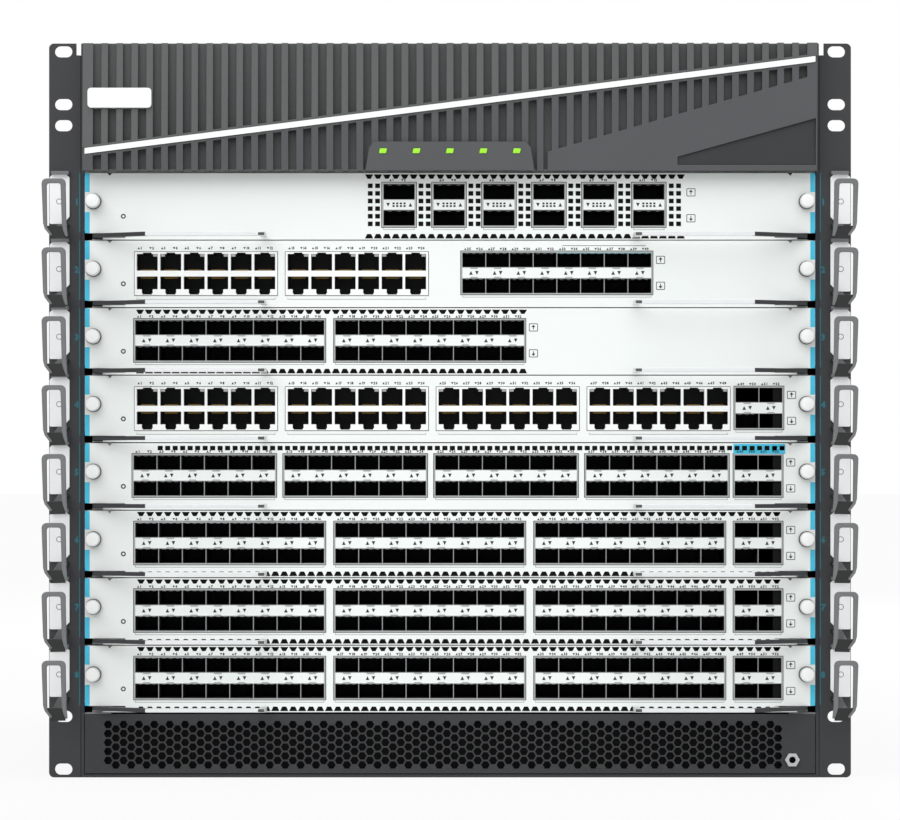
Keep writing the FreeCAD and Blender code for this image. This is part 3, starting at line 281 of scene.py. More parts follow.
class Paints:
    """Every finish of the scene, made once."""

    def __init__(self) -> None:
        """Makes the materials."""
        listed = {
            "dark": Finish("dark_powder_coat", "#2B2C2F", 0.05, 90, 0.5, 0.1, 0.7, 0.2),
            "white": Finish("white_powder_coat", "#ECF1EF", 0.012, 80, 0.42, 0.06, 0.6, 0.1),
            "bezel": Finish("moulded_grey_plastic", "#505253", 0.04, 70, 0.46, 0.07, 0.35, 0.14),
            "inset": Finish("moulded_dark_plastic", "#232527", 0.04, 40, 0.5, 0.07, 0.35, 0.14),
            "bar": Finish("white_light_guide", "#F6F8F8", 0.01, 50, 0.2, 0.04, 0.8, 0.04, coat=0.5),
            "lamp": Lamp("green_lamp_lens", "#8FD61E", 0.05, 3, 0.25, 0.05, 0.5, 0.05, coat=0.4, glow=0.3),
            "nut": Brushed("nickel_plate", "#C9CACC", 0.02, 6, 0.22, 0.06, 0.2, 0.08, metallic=1.0),
            "steel": Brushed("cage_stainless", "#AEB1B2", 0.03, 20, 0.36, 0.08, 0.25, 0.08),
            "plated": Spangled("zinc_plated_sheet", "#B4B7B8", 0.05, 35, 0.42, 0.12, 7.0, 0.0),
            "lever": Brushed("satin_lever_steel", "#E4E7E8", 0.02, 30, 0.34, 0.07, 0.3, 0.08, metallic=0.35),
            "cap": Finish("white_cap_plastic", "#F1F2F2", 0.012, 8, 0.38, 0.05, 0.3, 0.1),
            "rim": Finish("dark_collar_plastic", "#4A4C4E", 0.03, 8, 0.5, 0.06, 0.3, 0.1),
            "black": Finish("black_socket_plastic", "#0E0E0F", 0.08, 9, 0.7, 0.08, 0.3, 0.1, shine=0.15),
            # socket: the port lining, painted lighter than black for the light that reaches into the ports
            "socket": Finish("port_lining_painted_light", "#333437", 0.08, 9, 0.6, 0.08, 0.3, 0.1, shine=0.3),
            "housing": Finish("white_socket_plastic", "#F4F6F6", 0.02, 12, 0.35, 0.05, 0.3, 0.08),
            "gold": Brushed("gold_contact", "#C9A24A", 0.04, 3, 0.25, 0.06, 0.1, 0.04, metallic=1.0),
            "plate": Finish("white_guide_plastic", "#ECEEEF", 0.015, 12, 0.4, 0.05, 0.3, 0.1),
            # navy: painted shade for the shell wall's edge beside each card
            "navy": Finish("painted_shade_wall_edge", "#121C2B", 0.04, 20, 0.5, 0.07, 0.5, 0.14),
            "panel": Finish("smooth_grey_plastic", "#4B4C4F", 0.03, 60, 0.5, 0.06, 0.3, 0.1),
            # arm: a dark copy of the lever steel, painted shade for the slanted arm
            "arm": Brushed("lever_steel_painted_shade", "#434547", 0.04, 12, 0.38, 0.07, 0.3, 0.08, metallic=0.5),
            "deepteal": Finish("dark_teal_ink", "#1B6470", 0.03, 10, 0.5, 0.05, 0.4, 0.05),
            # hoop: grey, painted shade on the guide's front hoop
            "hoop": Finish("grey_painted_shade_guide_plastic", "#6A6C6E", 0.05, 15, 0.42, 0.07, 0.35, 0.14),
            # shelf: near-black, painted shade under the guide's hoop
            "shelf": Finish("black_painted_shade_guide_plastic", "#0F1011", 0.05, 15, 0.5, 0.07, 0.35, 0.14),
            # groove: a darker copy of the bezel grey, painted shade for the channel floor and the bottom sill
            "groove": Finish("painted_shade_grey_plastic", "#454747", 0.04, 50, 0.5, 0.07, 0.35, 0.14),
            "paleteal": Finish("pale_teal_ink", "#86CDD2", 0.03, 10, 0.45, 0.05, 0.4, 0.05),
            "teal": Finish("teal_ink", "#3BBFE0", 0.03, 10, 0.45, 0.05, 0.4, 0.05),
            "ink": Finish("grey_ink", "#1A1C1E", 0.05, 5, 0.5, 0.05, 0.3, 0.05),
            "board": Laminate("green_circuit_board", "#14532B", 0.08, 30, 0.4, 0.06, 0.6, 0.1),
            "chip": Finish("epoxy_package", "#1B1C1E", 0.05, 6, 0.5, 0.06, 0.25, 0.1),
            "alloy": Brushed("extruded_aluminium", "#B9BCBE", 0.03, 20, 0.35, 0.07, 0.3, 0.1),
            "fan": Finish("black_fan_plastic", "#1D1E20", 0.06, 25, 0.48, 0.07, 0.4, 0.14),
            "floor": Backdrop("pale_floor", "#F9F9F8", 0.006, 400, 0.6, 0.05, 3.0, 0.02),
        }
        self._made = {key: finish.build() for key, finish in listed.items()}

    def __getitem__(self, key: str) -> bpy.types.Material:
        """The material by its short name."""
        return self._made[key]

    def pick(self, *keys: str) -> list[bpy.types.Material]:
        """The materials by their short names, in slot order."""
        return [self._made[key] for key in keys]


# ---------------------------------------------------------------- mesh tools


class Plane(Enum):
    """The view in which an outline is drawn: from the front, from above or from the right."""

    FRONT = "front"
    TOP = "top"
    SIDE = "side"


def rectangle(left: float, low: float, width: float, height: float) -> Loop:
    """A rectangle's corners, counterclockwise."""
    right, high = left + width, low + height
    return [(left, low), (right, low), (right, high), (left, high)]


def ring(centre: tuple[float, float], radius: float, count: int, turn: float = 0.0) -> Loop:
    """Points of a circle or regular polygon: centre plus radius at equal angles, from turn on."""
    angles = turn + np.arange(count) * 2 * math.pi / count
    return [(centre[0] + radius * math.cos(a), centre[1] + radius * math.sin(a)) for a in angles]


def rounded(left: float, low: float, width: float, height: float, radius: float, steps: int = 4) -> Loop:
    """A rectangle whose corners are quarter circles."""
    right, high = left + width, low + height
    centres = [(right - radius, low + radius, -90), (right - radius, high - radius, 0)]
    centres += [(left + radius, high - radius, 90), (left + radius, low + radius, 180)]
    points: Loop = []
    for x, z, start in centres:
        for step in range(steps + 1):
            angle = math.radians(start + 90 * step / steps)
            points.append((x + radius * math.cos(angle), z + radius * math.sin(angle)))
    return points


def moved(loop: Loop, dx: float, dz: float) -> Loop:
    """The loop, shifted."""
    return [(x + dx, z + dz) for x, z in loop]


def mirrored(loop: Loop, side: int) -> Loop:
    """The loop as drawn for the right, or turned over for the left."""
    return [(side * x, z) for x, z in loop]


def turning(loop: Loop) -> float:
    """Twice the loop's signed area: the sum of cross products of its neighbouring points."""
    here = np.array(loop)
    ahead = np.roll(here, -1, axis=0)
    return float(np.sum(here[:, 0] * ahead[:, 1] - ahead[:, 0] * here[:, 1]))


def filled(loops: list[Loop]) -> list[tuple[int, int, int]]:
    """Splits the area inside the first loop and outside the others into triangles.

    Args:
        loops: the outer outline, then its holes.

    Returns:
        Counterclockwise triangles, as places in the joined list of all the loops' points.
    """
    flat = [point for loop in loops for point in loop]
    areas, start = [], 0
    for loop in loops:
        places = list(range(start, start + len(loop)))
        areas.append(places if turning(loop) > 0 else places[::-1])
        start += len(loop)
    corners = [Vector(point) for point in flat]
    _, _, faces, origins, _, owners = delaunay_2d_cdt(corners, [], areas, 1, 1e-6, True)
    if all(origins):
        kept = [face for face, owner in zip(faces, owners) if owner == [0]]
        found = [tuple(origins[k][0] for k in face) for face in kept]
    else:
        found = tessellate_polygon([[Vector((*point, 0)) for point in loop] for loop in loops])
    return [(a, b, c) if turning([flat[a], flat[b], flat[c]]) > 0 else (a, c, b) for a, b, c in found]


class Build:
    """Gathers closed prisms and turned parts in mm, and makes one mesh object of them."""

    def __init__(self, name: str, *finishes: bpy.types.Material) -> None:
        """Starts an empty piece.

        Args:
            name: the piece's name.
            finishes: its materials, in slot order.
        """
        self.name = name
        self.finishes = finishes
        self.points: list[np.ndarray] = []
        self.faces: list[tuple[int, ...]] = []
        self.slots: list[int] = []
        self.count = 0

    def add(self, points: np.ndarray, faces: list, slot: int) -> None:
        """Adds points with the faces between them."""
        base = self.count
        self.points.append(points)
        self.faces += [tuple(base + k for k in face) for face in faces]
        self.slots += [slot] * len(faces)
        self.count += len(points)

    def prism(
        self, loops: list[Loop], low: float, high: float, plane: Plane = Plane.FRONT, slot: int = 0
    ) -> None:
        """Adds an outline with holes, drawn out between two depths.

        The points are the outlines' at the low depth and again at the high one.  The ends
        are the filled outline, and each pair of neighbouring points spans a side.

        Args:
            loops: the outer outline, then its holes.
            low: the smaller depth along the plane's normal axis.
            high: the larger depth.
            plane: the view that the outline is drawn in.
            slot: the material slot.
        """
        ordered = [loop if (turning(loop) > 0) == (k == 0) else loop[::-1] for k, loop in enumerate(loops)]
        flat = np.array([point for loop in ordered for point in loop])
        count = len(flat)
        ends = np.array(filled(ordered), dtype=int).reshape(-1, 3)
        faces = [*(ends + count).tolist(), *ends[:, ::-1].tolist()]
        start = 0
        for loop in ordered:
            here = start + np.arange(len(loop))
            ahead = np.roll(here, -1)
            faces += np.column_stack([here, ahead, ahead + count, here + count]).tolist()
            start += len(loop)
        if plane is Plane.FRONT:
            faces = [face[::-1] for face in faces]
        across, along = np.tile(flat, (2, 1)).T
        depth = np.repeat([low, high], count)
        columns = {
            Plane.FRONT: (across, depth, along),
            Plane.TOP: (across, along, depth),
            Plane.SIDE: (depth, across, along),
        }[plane]
        self.add(np.column_stack(columns), faces, slot)

    def turned(
        self,
        centre: tuple[float, float, float],
        profile: Loop,
        count: int = 24,
        flutes: int = 0,
        depth: float = 0.0,
        slot: int = 0,
    ) -> None:
        """Adds a part turned about an axis along Y.

        A point lies at the profile's radius less the flute depth times the share
        (1 - cos(flutes * angle)) / 2, at the profile's depth along Y.

        Args:
            centre: the axis's place.
            profile: radius and depth, from the front's middle to the back's.
            count: points around.
            flutes: grips around the rim.
            depth: how deep the flutes are on radii over 60% of the largest.
            slot: the material slot.
        """
        angles = np.arange(count) * 2 * math.pi / count
        radius, along = (column[:, None] for column in np.array(profile).T)
        fluted = depth * (1 - np.cos(flutes * angles)) / 2 * (radius > 0.6 * radius.max())
        reach = np.maximum(radius - fluted, 0.001)
        depths = centre[1] + np.broadcast_to(along, reach.shape)
        rows = (centre[0] + reach * np.cos(angles), depths, centre[2] + reach * np.sin(angles))
        last = (len(profile) - 1) * count
        here = np.arange(last).reshape(-1, count)
        ahead = np.roll(here, -1, axis=1)
        faces = np.stack([here + count, ahead + count, ahead, here], axis=-1).reshape(-1, 4).tolist()
        faces += [list(range(count)), list(range(last + count - 1, last - 1, -1))]
        self.add(np.stack(rows, axis=-1).reshape(-1, 3), faces, slot)

    def make(
        self, body: str, slot: str | None = None, replaces: tuple[str, ...] = (), bevel: float = 0.0
    ) -> bpy.types.Object:
        """Makes the object and ties it to its body.

        Args:
            body: the body it rides on.
            slot: not used.
            replaces: the nodes that it stands for.
            bevel: the width of softened edges, in mm.

        Returns:
            The new object.
        """
        mesh = bpy.data.meshes.new(self.name)
        mesh.from_pydata((np.vstack(self.points) * MM).tolist(), [], self.faces)
        for finish in self.finishes:
            mesh.materials.append(finish)
        mesh.polygons.foreach_set("material_index", self.slots)
        mesh.validate()
        mesh.update()
        thing = bpy.data.objects.new(self.name, mesh)
        bpy.context.scene.collection.objects.link(thing)
        if bevel:
            soften = thing.modifiers.new("softened_edges", "BEVEL")
            soften.width = bevel * MM
            soften.segments = 2
            soften.limit_method = "ANGLE"
            soften.angle_limit = math.radians(35)
        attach(thing, body)
        if replaces:
            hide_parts(*replaces)
        log.info("%s: %d faces on %s", self.name, len(self.faces), body)
        return thing


class Numerals:
    """Flat closed numerals, cut once and copied into the prints."""

    def __init__(self) -> None:
        """Cuts the ten digits."""
        self._cut = {digit: self._glyph(digit) for digit in "0123456789"}

    def _glyph(self, digit: str) -> tuple[np.ndarray, list[tuple[int, ...]]]:
        """One digit's points, an em high and from -1 to 1 deep, and its faces."""
        curve = bpy.data.curves.new("numeral", "FONT")
        curve.body = digit
        curve.extrude = 1.0
        curve.offset = 0.05
        curve.resolution_u = 1
        thing = bpy.data.objects.new("numeral", curve)
        mesh = bpy.data.meshes.new_from_object(thing)
        points = np.empty(3 * len(mesh.vertices))
        mesh.vertices.foreach_get("co", points)
        faces = [tuple(face.vertices) for face in mesh.polygons]
        bpy.data.objects.remove(thing)
        bpy.data.curves.remove(curve)
        bpy.data.meshes.remove(mesh)
        return points.reshape(-1, 3), faces

    def write(
        self, piece: Build, number: int, start: tuple[float, float], size: float, depths: tuple[float, float]
    ) -> None:
        """Writes a number into a print.

        Args:
            piece: the print.
            number: what to write.
            start: the lower left corner, in the front view.
            size: the em height in mm; a digit is about 0.7 of it.
            depths: the near and the far depth.
        """
        near, far = depths
        middle, half = (near + far) / 2, (far - near) / 2
        x, z = start
        for digit in str(number):
            points, faces = self._cut[digit]
            columns = (x + size * points[:, 0], middle - half * points[:, 2], z + size * points[:, 1])
            piece.add(np.column_stack(columns), faces, 0)
            x += size * (float(points[:, 0].max()) + 0.1)


def smooth(thing: bpy.types.Object, angle: float = 40.0) -> None:
    """Shades a piece smoothly, apart from edges sharper than the angle."""
    mesh = thing.data
    mesh.polygons.foreach_set("use_smooth", [True] * len(mesh.polygons))
    mesh.set_sharp_from_angle(angle=math.radians(angle))


# ---------------------------------------------------------------- places


def low_high(node: str) -> tuple[Vector, Vector]:
    """A node's lowest and highest corners, in mm."""
    low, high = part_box(node)
    return low / MM, high / MM


SLOTS = 8
FRONT = low_high("rack_ear_left")[0].y
EDGE = low_high("rack_ear_right")[1].x
PANEL_HALF = low_high("card_2_panel")[1].x
CARD_TOPS = [low_high(f"card_{k + 1}_panel")[1].z for k in range(SLOTS)]


@dataclass(frozen=True)
class Port:
    """The front of a two-row port cage."""

    width: float
    height: float
    pitch: float
    middle: float
    depth: float
    margin: float = 0.9
    drop: float = 31.6


class Kind(Enum):
    """The kinds of port: small pluggable, large pluggable and copper jack."""

    SMALL = Port(13.8, 8.7, 14.26, 6.9, 45.0)
    LARGE = Port(18.7, 9.2, 30.06, 6.6, 50.0, 1.0)
    JACK = Port(12.6, 10.9, 14.14, 3.5, 22.0, 1.3, 32.5)


BOARD_DROP = 32.8


@dataclass(frozen=True)
class Bank:
    """A block of ports on a card."""

    kind: Kind
    left: float
    columns: int

    @property
    def port(self) -> Port:
        """The sizes of the bank's ports."""
        return self.kind.value

    @property
    def width(self) -> float:
        """From the first port's left edge to the last one's right edge."""
        return (self.columns - 1) * self.port.pitch + self.port.width

    @property
    def height(self) -> float:
        """Both rows and the band between them."""
        return 2 * self.port.height + self.port.middle

    def window(self, top: float, grow: float) -> Loop:
        """The outline round all the ports, wider by grow, but for a jack's close top and foot."""
        rise = grow - 0.9 if self.kind is Kind.JACK else grow
        low = top - self.port.drop - rise
        return rectangle(self.left - grow, low, self.width + 2 * grow, self.height + 2 * rise)

    def holes(self, top: float, shrink: float = 0.0) -> list[Loop]:
        """One opening per port, lower row first."""
        port = self.port
        found = []
        for row in range(2):
            low = top - port.drop + row * (port.height + port.middle) + shrink
            for column in range(self.columns):
                left = self.left + column * port.pitch + shrink
                found.append(rectangle(left, low, port.width - 2 * shrink, port.height - 2 * shrink))
        return found


LEFT = -189.4
UPLINK = 171.4
BANKS = [
    [Bank(Kind.LARGE, -40.0 + 30.06 * k, 1) for k in range(6)],
    [Bank(Kind.JACK, -188.5 + 90.8 * k, 6) for k in range(2)] + [Bank(Kind.SMALL, 7.5, 8)],
    [Bank(Kind.SMALL, LEFT + 120.4 * k, 8) for k in range(2)],
    [Bank(Kind.JACK, -188.5 + 90.8 * k, 6) for k in range(4)] + [Bank(Kind.SMALL, UPLINK + 0.5, 2)],
    [Bank(Kind.SMALL, LEFT - 1.0 + 90.8 * k, 6) for k in range(4)] + [Bank(Kind.SMALL, UPLINK, 2)],
]
BANKS += [
    [Bank(Kind.SMALL, LEFT + 120.4 * k, 8) for k in range(3)] + [Bank(Kind.SMALL, UPLINK, 2)]
    for _ in range(3)
]


# ---------------------------------------------------------------- cards


@dataclass
class Vents:
    """A row of vent cuts along a panel's edge: where it runs, and how far apart the cuts are."""

    start: float
    end: float
    pitch: float
    drop: float
    height: float
    wide: float
    narrow: float

    def cuts(self, top: float, upright: bool) -> list[Loop]:
        """Half hexagons, with their wide side towards the panel's edge."""
        count = int((self.end - self.start) / self.pitch) + 1
        high = top - self.drop
        low = high - self.height
        above, below = (self.wide, self.narrow) if upright else (self.narrow, self.wide)
        cut = [(-below / 2, low), (below / 2, low), (above / 2, high), (-above / 2, high)]
        return [moved(cut, self.start + k * self.pitch, 0) for k in range(count)]


@dataclass
class CardFace:
    """A card's painted face plate with its vents, port cages, sockets and prints."""

    number: int
    top: float
    banks: list[Bank]
    paints: Paints
    numerals: Numerals
    end_height: float = 36.2
    end_width: float = 24.4
    height: float = 40.04
    thickness: float = 1.5
    corner: float = 1.8
    screw_inset: float = 5.3
    screw_drop: float = 17.1

    @property
    def name(self) -> str:
        """The card's name, which is also its body's."""
        return f"card_{self.number}"

    def outline(self) -> Loop:
        """The plate: full height in the middle, and shorter at both ends above the levers."""
        half, middle = PANEL_HALF, PANEL_HALF - self.end_width
        low, step = self.top - self.height, self.top - self.end_height
        notch = half - 15.0
        top, corner = self.top, self.corner
        foot = [(middle, low), (middle, step), (half - corner, step), (half, step + corner)]
        head = [(half, top - corner), (half - corner, top)]
        right = [*foot, *head, (notch + 1.4, top), (notch, top - 1.5), (notch - 1.4, top)]
        return right + mirrored(right[::-1], -1)

    def vents(self) -> list[Loop]:
        """The vent cuts of this card."""
        top = self.top
        if self.number == 1:
            found = Vents(-48.7, 142.0, 5.36, 0.7, 2.7, 5.0, 2.0).cuts(top, True)
            found += Vents(-48.7, 142.0, 5.36, 36.6, 2.8, 5.0, 2.4).cuts(top, False)
            middles = [-45.8] + [-15.3 + 30.06 * k for k in range(5)] + [135.4]
            for middle in middles:
                for x in (middle - 2.2, middle + 2.2):
                    for row in range(6):
                        found.append(rectangle(x - 1.45, top - 9.0 - 4.59 * row, 2.9, 2.8))
            return found
        if self.number == 3:
            found = Vents(-186.6, 45.0, 5.36, 0.9, 2.6, 5.0, 2.0).cuts(top, True)
            return found + Vents(-186.6, 45.0, 5.36, 36.5, 2.8, 5.0, 2.4).cuts(top, False)
        if self.number == 5:
            return [rectangle(-176.0 + 4.51 * k, top - 4.3, 3.1, 2.7) for k in range(84)]
        if self.number >= 6:
            found = Vents(-186.0, 199.0, 5.39, 0.7, 2.6, 5.0, 2.0).cuts(top, True)
            return found + Vents(-186.0, 199.0, 5.39, 36.6, 2.8, 5.0, 2.4).cuts(top, False)
        return []

    def plate(self) -> None:
        """The painted sheet."""
        windows = [bank.window(self.top, bank.port.margin + 0.35) for bank in self.banks]
        loops = [self.outline(), *windows, *self.vents()]
        sheet = Build(f"{self.name}_face", *self.paints.pick("white", "black"))
        sheet.prism(loops, FRONT, FRONT + self.thickness)
        for side in (-1, 1):
            lip = mirrored(rectangle(PANEL_HALF - self.end_width, self.top - 40.0, 13.6, 1.1), side)
            sheet.prism([lip], FRONT, FRONT + 8.0)
        sheet.make(self.name, "panel_paint", (f"{self.name}_panel",), bevel=0.12)

    def shade(self) -> None:
        """A black sheet behind the vents: painted shade that hides the card's inside."""
        half = PANEL_HALF - self.end_width - 1
        low = self.top - self.height + 0.4
        windows = [bank.window(self.top, bank.port.margin + 0.2) for bank in self.banks]
        frame_loop = rectangle(-half, low, 2 * half, self.height - 0.8)
        dark_backing = Build(f"{self.name}_gauze", self.paints["black"])
        dark_backing.prism([frame_loop, *windows], FRONT + self.thickness + 0.2, FRONT + self.thickness + 0.6)
        dark_backing.make(self.name, "cage_steel")

    def cages(self) -> None:
        """The stamped cage fronts, the insides in a grey lighter than black that paints the light reaching
        into the ports, and the painted bands between the rows.
        """
        fronts = Build(f"{self.name}_cage_fronts", *self.paints.pick("steel", "white"))
        insides = Build(f"{self.name}_cage_insides", *self.paints.pick("socket", "steel"))
        for bank in self.banks:
            port = bank.port
            if bank.kind is Kind.JACK:
                continue
            window = bank.window(self.top, port.margin)
            fronts.prism([window, *bank.holes(self.top)], FRONT - 0.25, FRONT + 1.0)
            insides.prism([window, *bank.holes(self.top, 0.15)], FRONT + 1.0, FRONT + port.depth)
            insides.prism([window], FRONT + port.depth, FRONT + port.depth + 0.8)
            self.band(fronts, bank)
            self.latches(insides, bank)
        if fronts.count:
            fronts.make(self.name, "cage_steel", bevel=0.1)
            insides.make(self.name, "cage_steel")

    def band(self, piece: Build, bank: Bank) -> None:
        """The light strip between the two rows, with a latch tab at each port's edge."""
        port = bank.port
        low = self.top - port.drop + port.height
        inset = 0.35
        band = rectangle(bank.left, low + inset, bank.width, port.middle - 2 * inset)
        piece.prism([band], FRONT - 0.4, FRONT - 0.2, slot=1)
        if bank.kind is Kind.LARGE:
            return
        for column in range(bank.columns):
            middle = bank.left + column * port.pitch + port.width / 2
            for edge, up in ((low, 1), (low + port.middle, -1)):
                tab = [(-2.7, edge), (2.7, edge), (2.0, edge + up), (-2.0, edge + up)]
                piece.prism([moved(tab, middle, 0)], FRONT - 0.7, FRONT - 0.3)

    def latches(self, piece: Build, bank: Bank) -> None:
        """A spring finger in the roof and the floor of every port."""
        port = bank.port
        for row in range(2):
            low = self.top - port.drop + row * (port.height + port.middle)
            for column in range(bank.columns):
                left = bank.left + column * port.pitch
                for share in (0.2, 0.5, 0.8):
                    x = left + share * port.width
                    finger = rectangle(x - 1.0, low + port.height - 0.5, 2.0, 0.25)
                    piece.prism([finger], FRONT + 3.0, FRONT + 8.0, slot=1)

    def jacks(self) -> None:
        """The copper jacks: white housings with stepped openings, light pipes and contacts."""
        banks = [bank for bank in self.banks if bank.kind is Kind.JACK]
        if not banks:
            return
        housing = Build(f"{self.name}_jack_housings", *self.paints.pick("housing", "steel"))
        # The jack insides wear the same grey lining: painted light inside the openings.
        insides = Build(f"{self.name}_jack_insides", *self.paints.pick("socket", "gold"))
        for bank in banks:
            port = bank.port
            openings = []
            for row in range(2):
                low = self.top - port.drop + row * (port.height + port.middle)
                for column in range(bank.columns):
                    left = bank.left + column * port.pitch
                    openings.append(self.keyhole(left, low, port, row))
                    self.contacts(insides, left, low, port, row)
                    self.light_pipes(housing, left, low, port, row)
            window = bank.window(self.top, port.margin)
            housing.prism([window, *openings], FRONT - 0.8, FRONT + 3.0)
            insides.prism([window, *openings], FRONT + 3.0, FRONT + port.depth)
            insides.prism([window], FRONT + port.depth, FRONT + port.depth + 0.6)
        housing.make(self.name, "cage_steel", bevel=0.1)
        insides.make(self.name, "cage_steel")

    def keyhole(self, left: float, low: float, port: Port, row: int) -> Loop:
        """A jack's opening: a plug-wide part, and narrower steps for its latch.

        The upper row has the steps on top, and the lower row has them below.
        """
        middle, half = left + port.width / 2, port.width / 2
        if row:
            steps = ((half, 10.1), (2.6, port.height))
        else:
            steps = ((half, 7.7), (3.3, 10.1), (2.8, port.height))
        right: Loop = []
        low_z = 0.0
        for reach, high_z in steps:
            right += [(reach, low_z), (reach, high_z)]
            low_z = high_z
        loop = right + [(-x, z) for x, z in right[::-1]]
        if row == 0:
            loop = [(x, port.height - z) for x, z in loop]
        return moved(loop, middle, low)

    def contacts(self, piece: Build, left: float, low: float, port: Port, row: int) -> None:
        """Eight gilt springs opposite the latch."""
        base = low + 0.4 if row else low + port.height - 1.0
        for k in range(8):
            x = left + port.width / 2 + (k - 3.5) * 1.02
            piece.prism([rectangle(x - 0.22, base, 0.44, 0.5)], FRONT + 4.0, FRONT + 12.0, slot=1)

    def light_pipes(self, piece: Build, left: float, low: float, port: Port, row: int) -> None:
        """The grey end of a light pipe, in one upper corner of every upper jack."""
        if row == 0:
            return
        outer = round((left - self.banks[0].left) / port.pitch) % 3 != 1
        x = left + port.width - 2.8 if outer else left + 0.2
        piece.prism([rectangle(x, low + 8.5, 2.6, 1.7)], FRONT + 0.4, FRONT + 2.4, slot=1)

    def prints(self) -> None:
        """The teal end strips, the port arrows and numbers, ruled lines and direction marks."""
        ink = Build(f"{self.name}_prints", *self.paints.pick("ink", "teal", "paleteal"))
        near, far = FRONT - 0.06, FRONT + 0.2
        for side in (-1, 1):
            for high, tall in ((0.2, 11.2), (23.5, 12.6)):
                x = PANEL_HALF - 2.95
                strip = mirrored(rectangle(x, self.top - high - tall, 2.85, tall), side)
                ink.prism([strip], near, far, slot=1)
        number = 1
        for bank in self.banks:
            number = self.port_marks(ink, bank, number, near, far)
            self.band_marks(ink, bank)
            self.rule(ink, bank, near, far)
        if self.number == 2:
            ink.prism([rectangle(64.6, self.top - 7.6, 56.6, 0.8)], near, far, slot=2)
            ink.prism([rectangle(67.6, self.top - 3.2, 50.2, 0.3)], near, far)
        if self.number == 5:
            patch = rectangle(170.5, self.top - 6.4, 31.3, 6.0)
            cuts = [cut for cut in self.vents() if cut[0][0] > 170.5]
            ink.prism([patch, *cuts], near, far, slot=1)
        self.flow_marks(ink, near, far)
        ring_centre = (-196.6, self.top - 26.0)
        ink.prism([ring(ring_centre, 1.5, 20), ring(ring_centre, 0.75, 20)], near, far)
        ink.make(self.name, "panel_paint")

    def port_marks(self, ink: Build, bank: Bank, number: int, near: float, far: float) -> int:
        """An arrow and a number for both ports of every column, above the upper row."""
        port = bank.port
        base = self.top - port.drop + bank.height + port.margin + 0.7
        for column in range(bank.columns):
            middle = bank.left + column * port.pitch + port.width / 2
            for dx, up in ((-3.55, 1), (3.55, -1)):
                x = middle + dx - 1.6
                foot = base + 0.65 - 0.65 * up
                ink.prism([[(x - 0.75, foot), (x + 0.75, foot), (x, foot + 1.3 * up)]], near, far)
                self.numerals.write(ink, number, (x + 1.0, base), 2.1, (near, far))
                number += 1
        return number

    def band_marks(self, ink: Build, bank: Bank) -> None:
        """Up and down arrows on the band between the rows, and dots between a wide port's."""
        port = bank.port
        if bank.kind is Kind.JACK:
            return
        near, far = FRONT - 0.46, FRONT - 0.35
        middle_z = self.top - port.drop + bank.height / 2
        spots = ((-1.8, 1), (1.8, -1)) if bank.kind is Kind.SMALL else ((-6.6, -1), (6.8, 1))
        for column in range(bank.columns):
            x = bank.left + column * port.pitch + port.width / 2
            for dx, up in spots:
                foot = middle_z - 1.15 * up
                arrow = [(x + dx - 1.1, foot), (x + dx + 1.1, foot), (x + dx, middle_z + 1.15 * up)]
                ink.prism([arrow], near, far)
            if bank.kind is Kind.LARGE:
                for k in range(8):
                    left = x + (k // 2 - 1.5) * 2.2 - 0.65
                    low = middle_z + (0.25 if k % 2 else -1.35)
                    ink.prism([rectangle(left, low, 1.3, 1.1)], near, far)

    def rule(self, ink: Build, bank: Bank, near: float, far: float) -> None:
        """A thin bracket under the bank."""
        port = bank.port
        low = self.top - port.drop - port.margin - 1.6
        ink.prism([rectangle(bank.left, low, bank.width, 0.2)], near, far)
        for x in (bank.left, bank.left + bank.width - 0.2):
            ink.prism([rectangle(x, low + 0.2, 0.2, 0.8)], near, far)

    def flow_marks(self, ink: Build, near: float, far: float) -> None:
        """Two framed arrows right of the last port: up for the upper row, down for the lower."""
        last = self.banks[-1]
        x = last.left + last.width + (5.6 if last.kind is Kind.SMALL else 16.0)
        for z, up in ((self.top - 11.6, 1), (self.top - 27.2, -1)):
            box = [rounded(x - 2.7, z - 2.4, 5.4, 4.8, 0.6), rounded(x - 2.3, z - 2.0, 4.6, 4.0, 0.4)]
            ink.prism(box, near, far)
            ink.prism([rectangle(x - 0.25, z - 1.3, 0.5, 2.6)], near, far)
            foot = z + 0.2 * up
            ink.prism([[(x - 1.2, foot), (x + 1.2, foot), (x, foot + 1.4 * up)]], near, far)

    def screws(self) -> None:
        """The two captive screws: fluted white caps on dark collars."""
        caps = Build(f"{self.name}_thumbscrews", *self.paints.pick("cap", "rim"))
        z = self.top - self.screw_drop
        cap = [(0.01, -10.9), (3.3, -10.9), (4.1, -10.6), (4.4, -9.8), (4.4, -3.2), (4.0, -2.8), (0.01, -2.8)]
        collar = [(0.01, -2.8), (4.8, -2.8), (4.8, -0.4), (4.4, 0.0), (0.01, 0.0)]
        for side in (-1, 1):
            centre = (side * (PANEL_HALF - self.screw_inset), FRONT, z)
            caps.turned(centre, cap, 64, 32, 0.22)
            caps.turned(centre, collar, 32, slot=1)
        thing = caps.make(self.name, "screw_caps", (f"{self.name}_screws",))
        smooth(thing, 50)

    def build(self) -> None:
        """Makes all of the card's front."""
        self.plate()
        self.shade()
        self.cages()
        self.jacks()
        self.prints()
        self.screws()


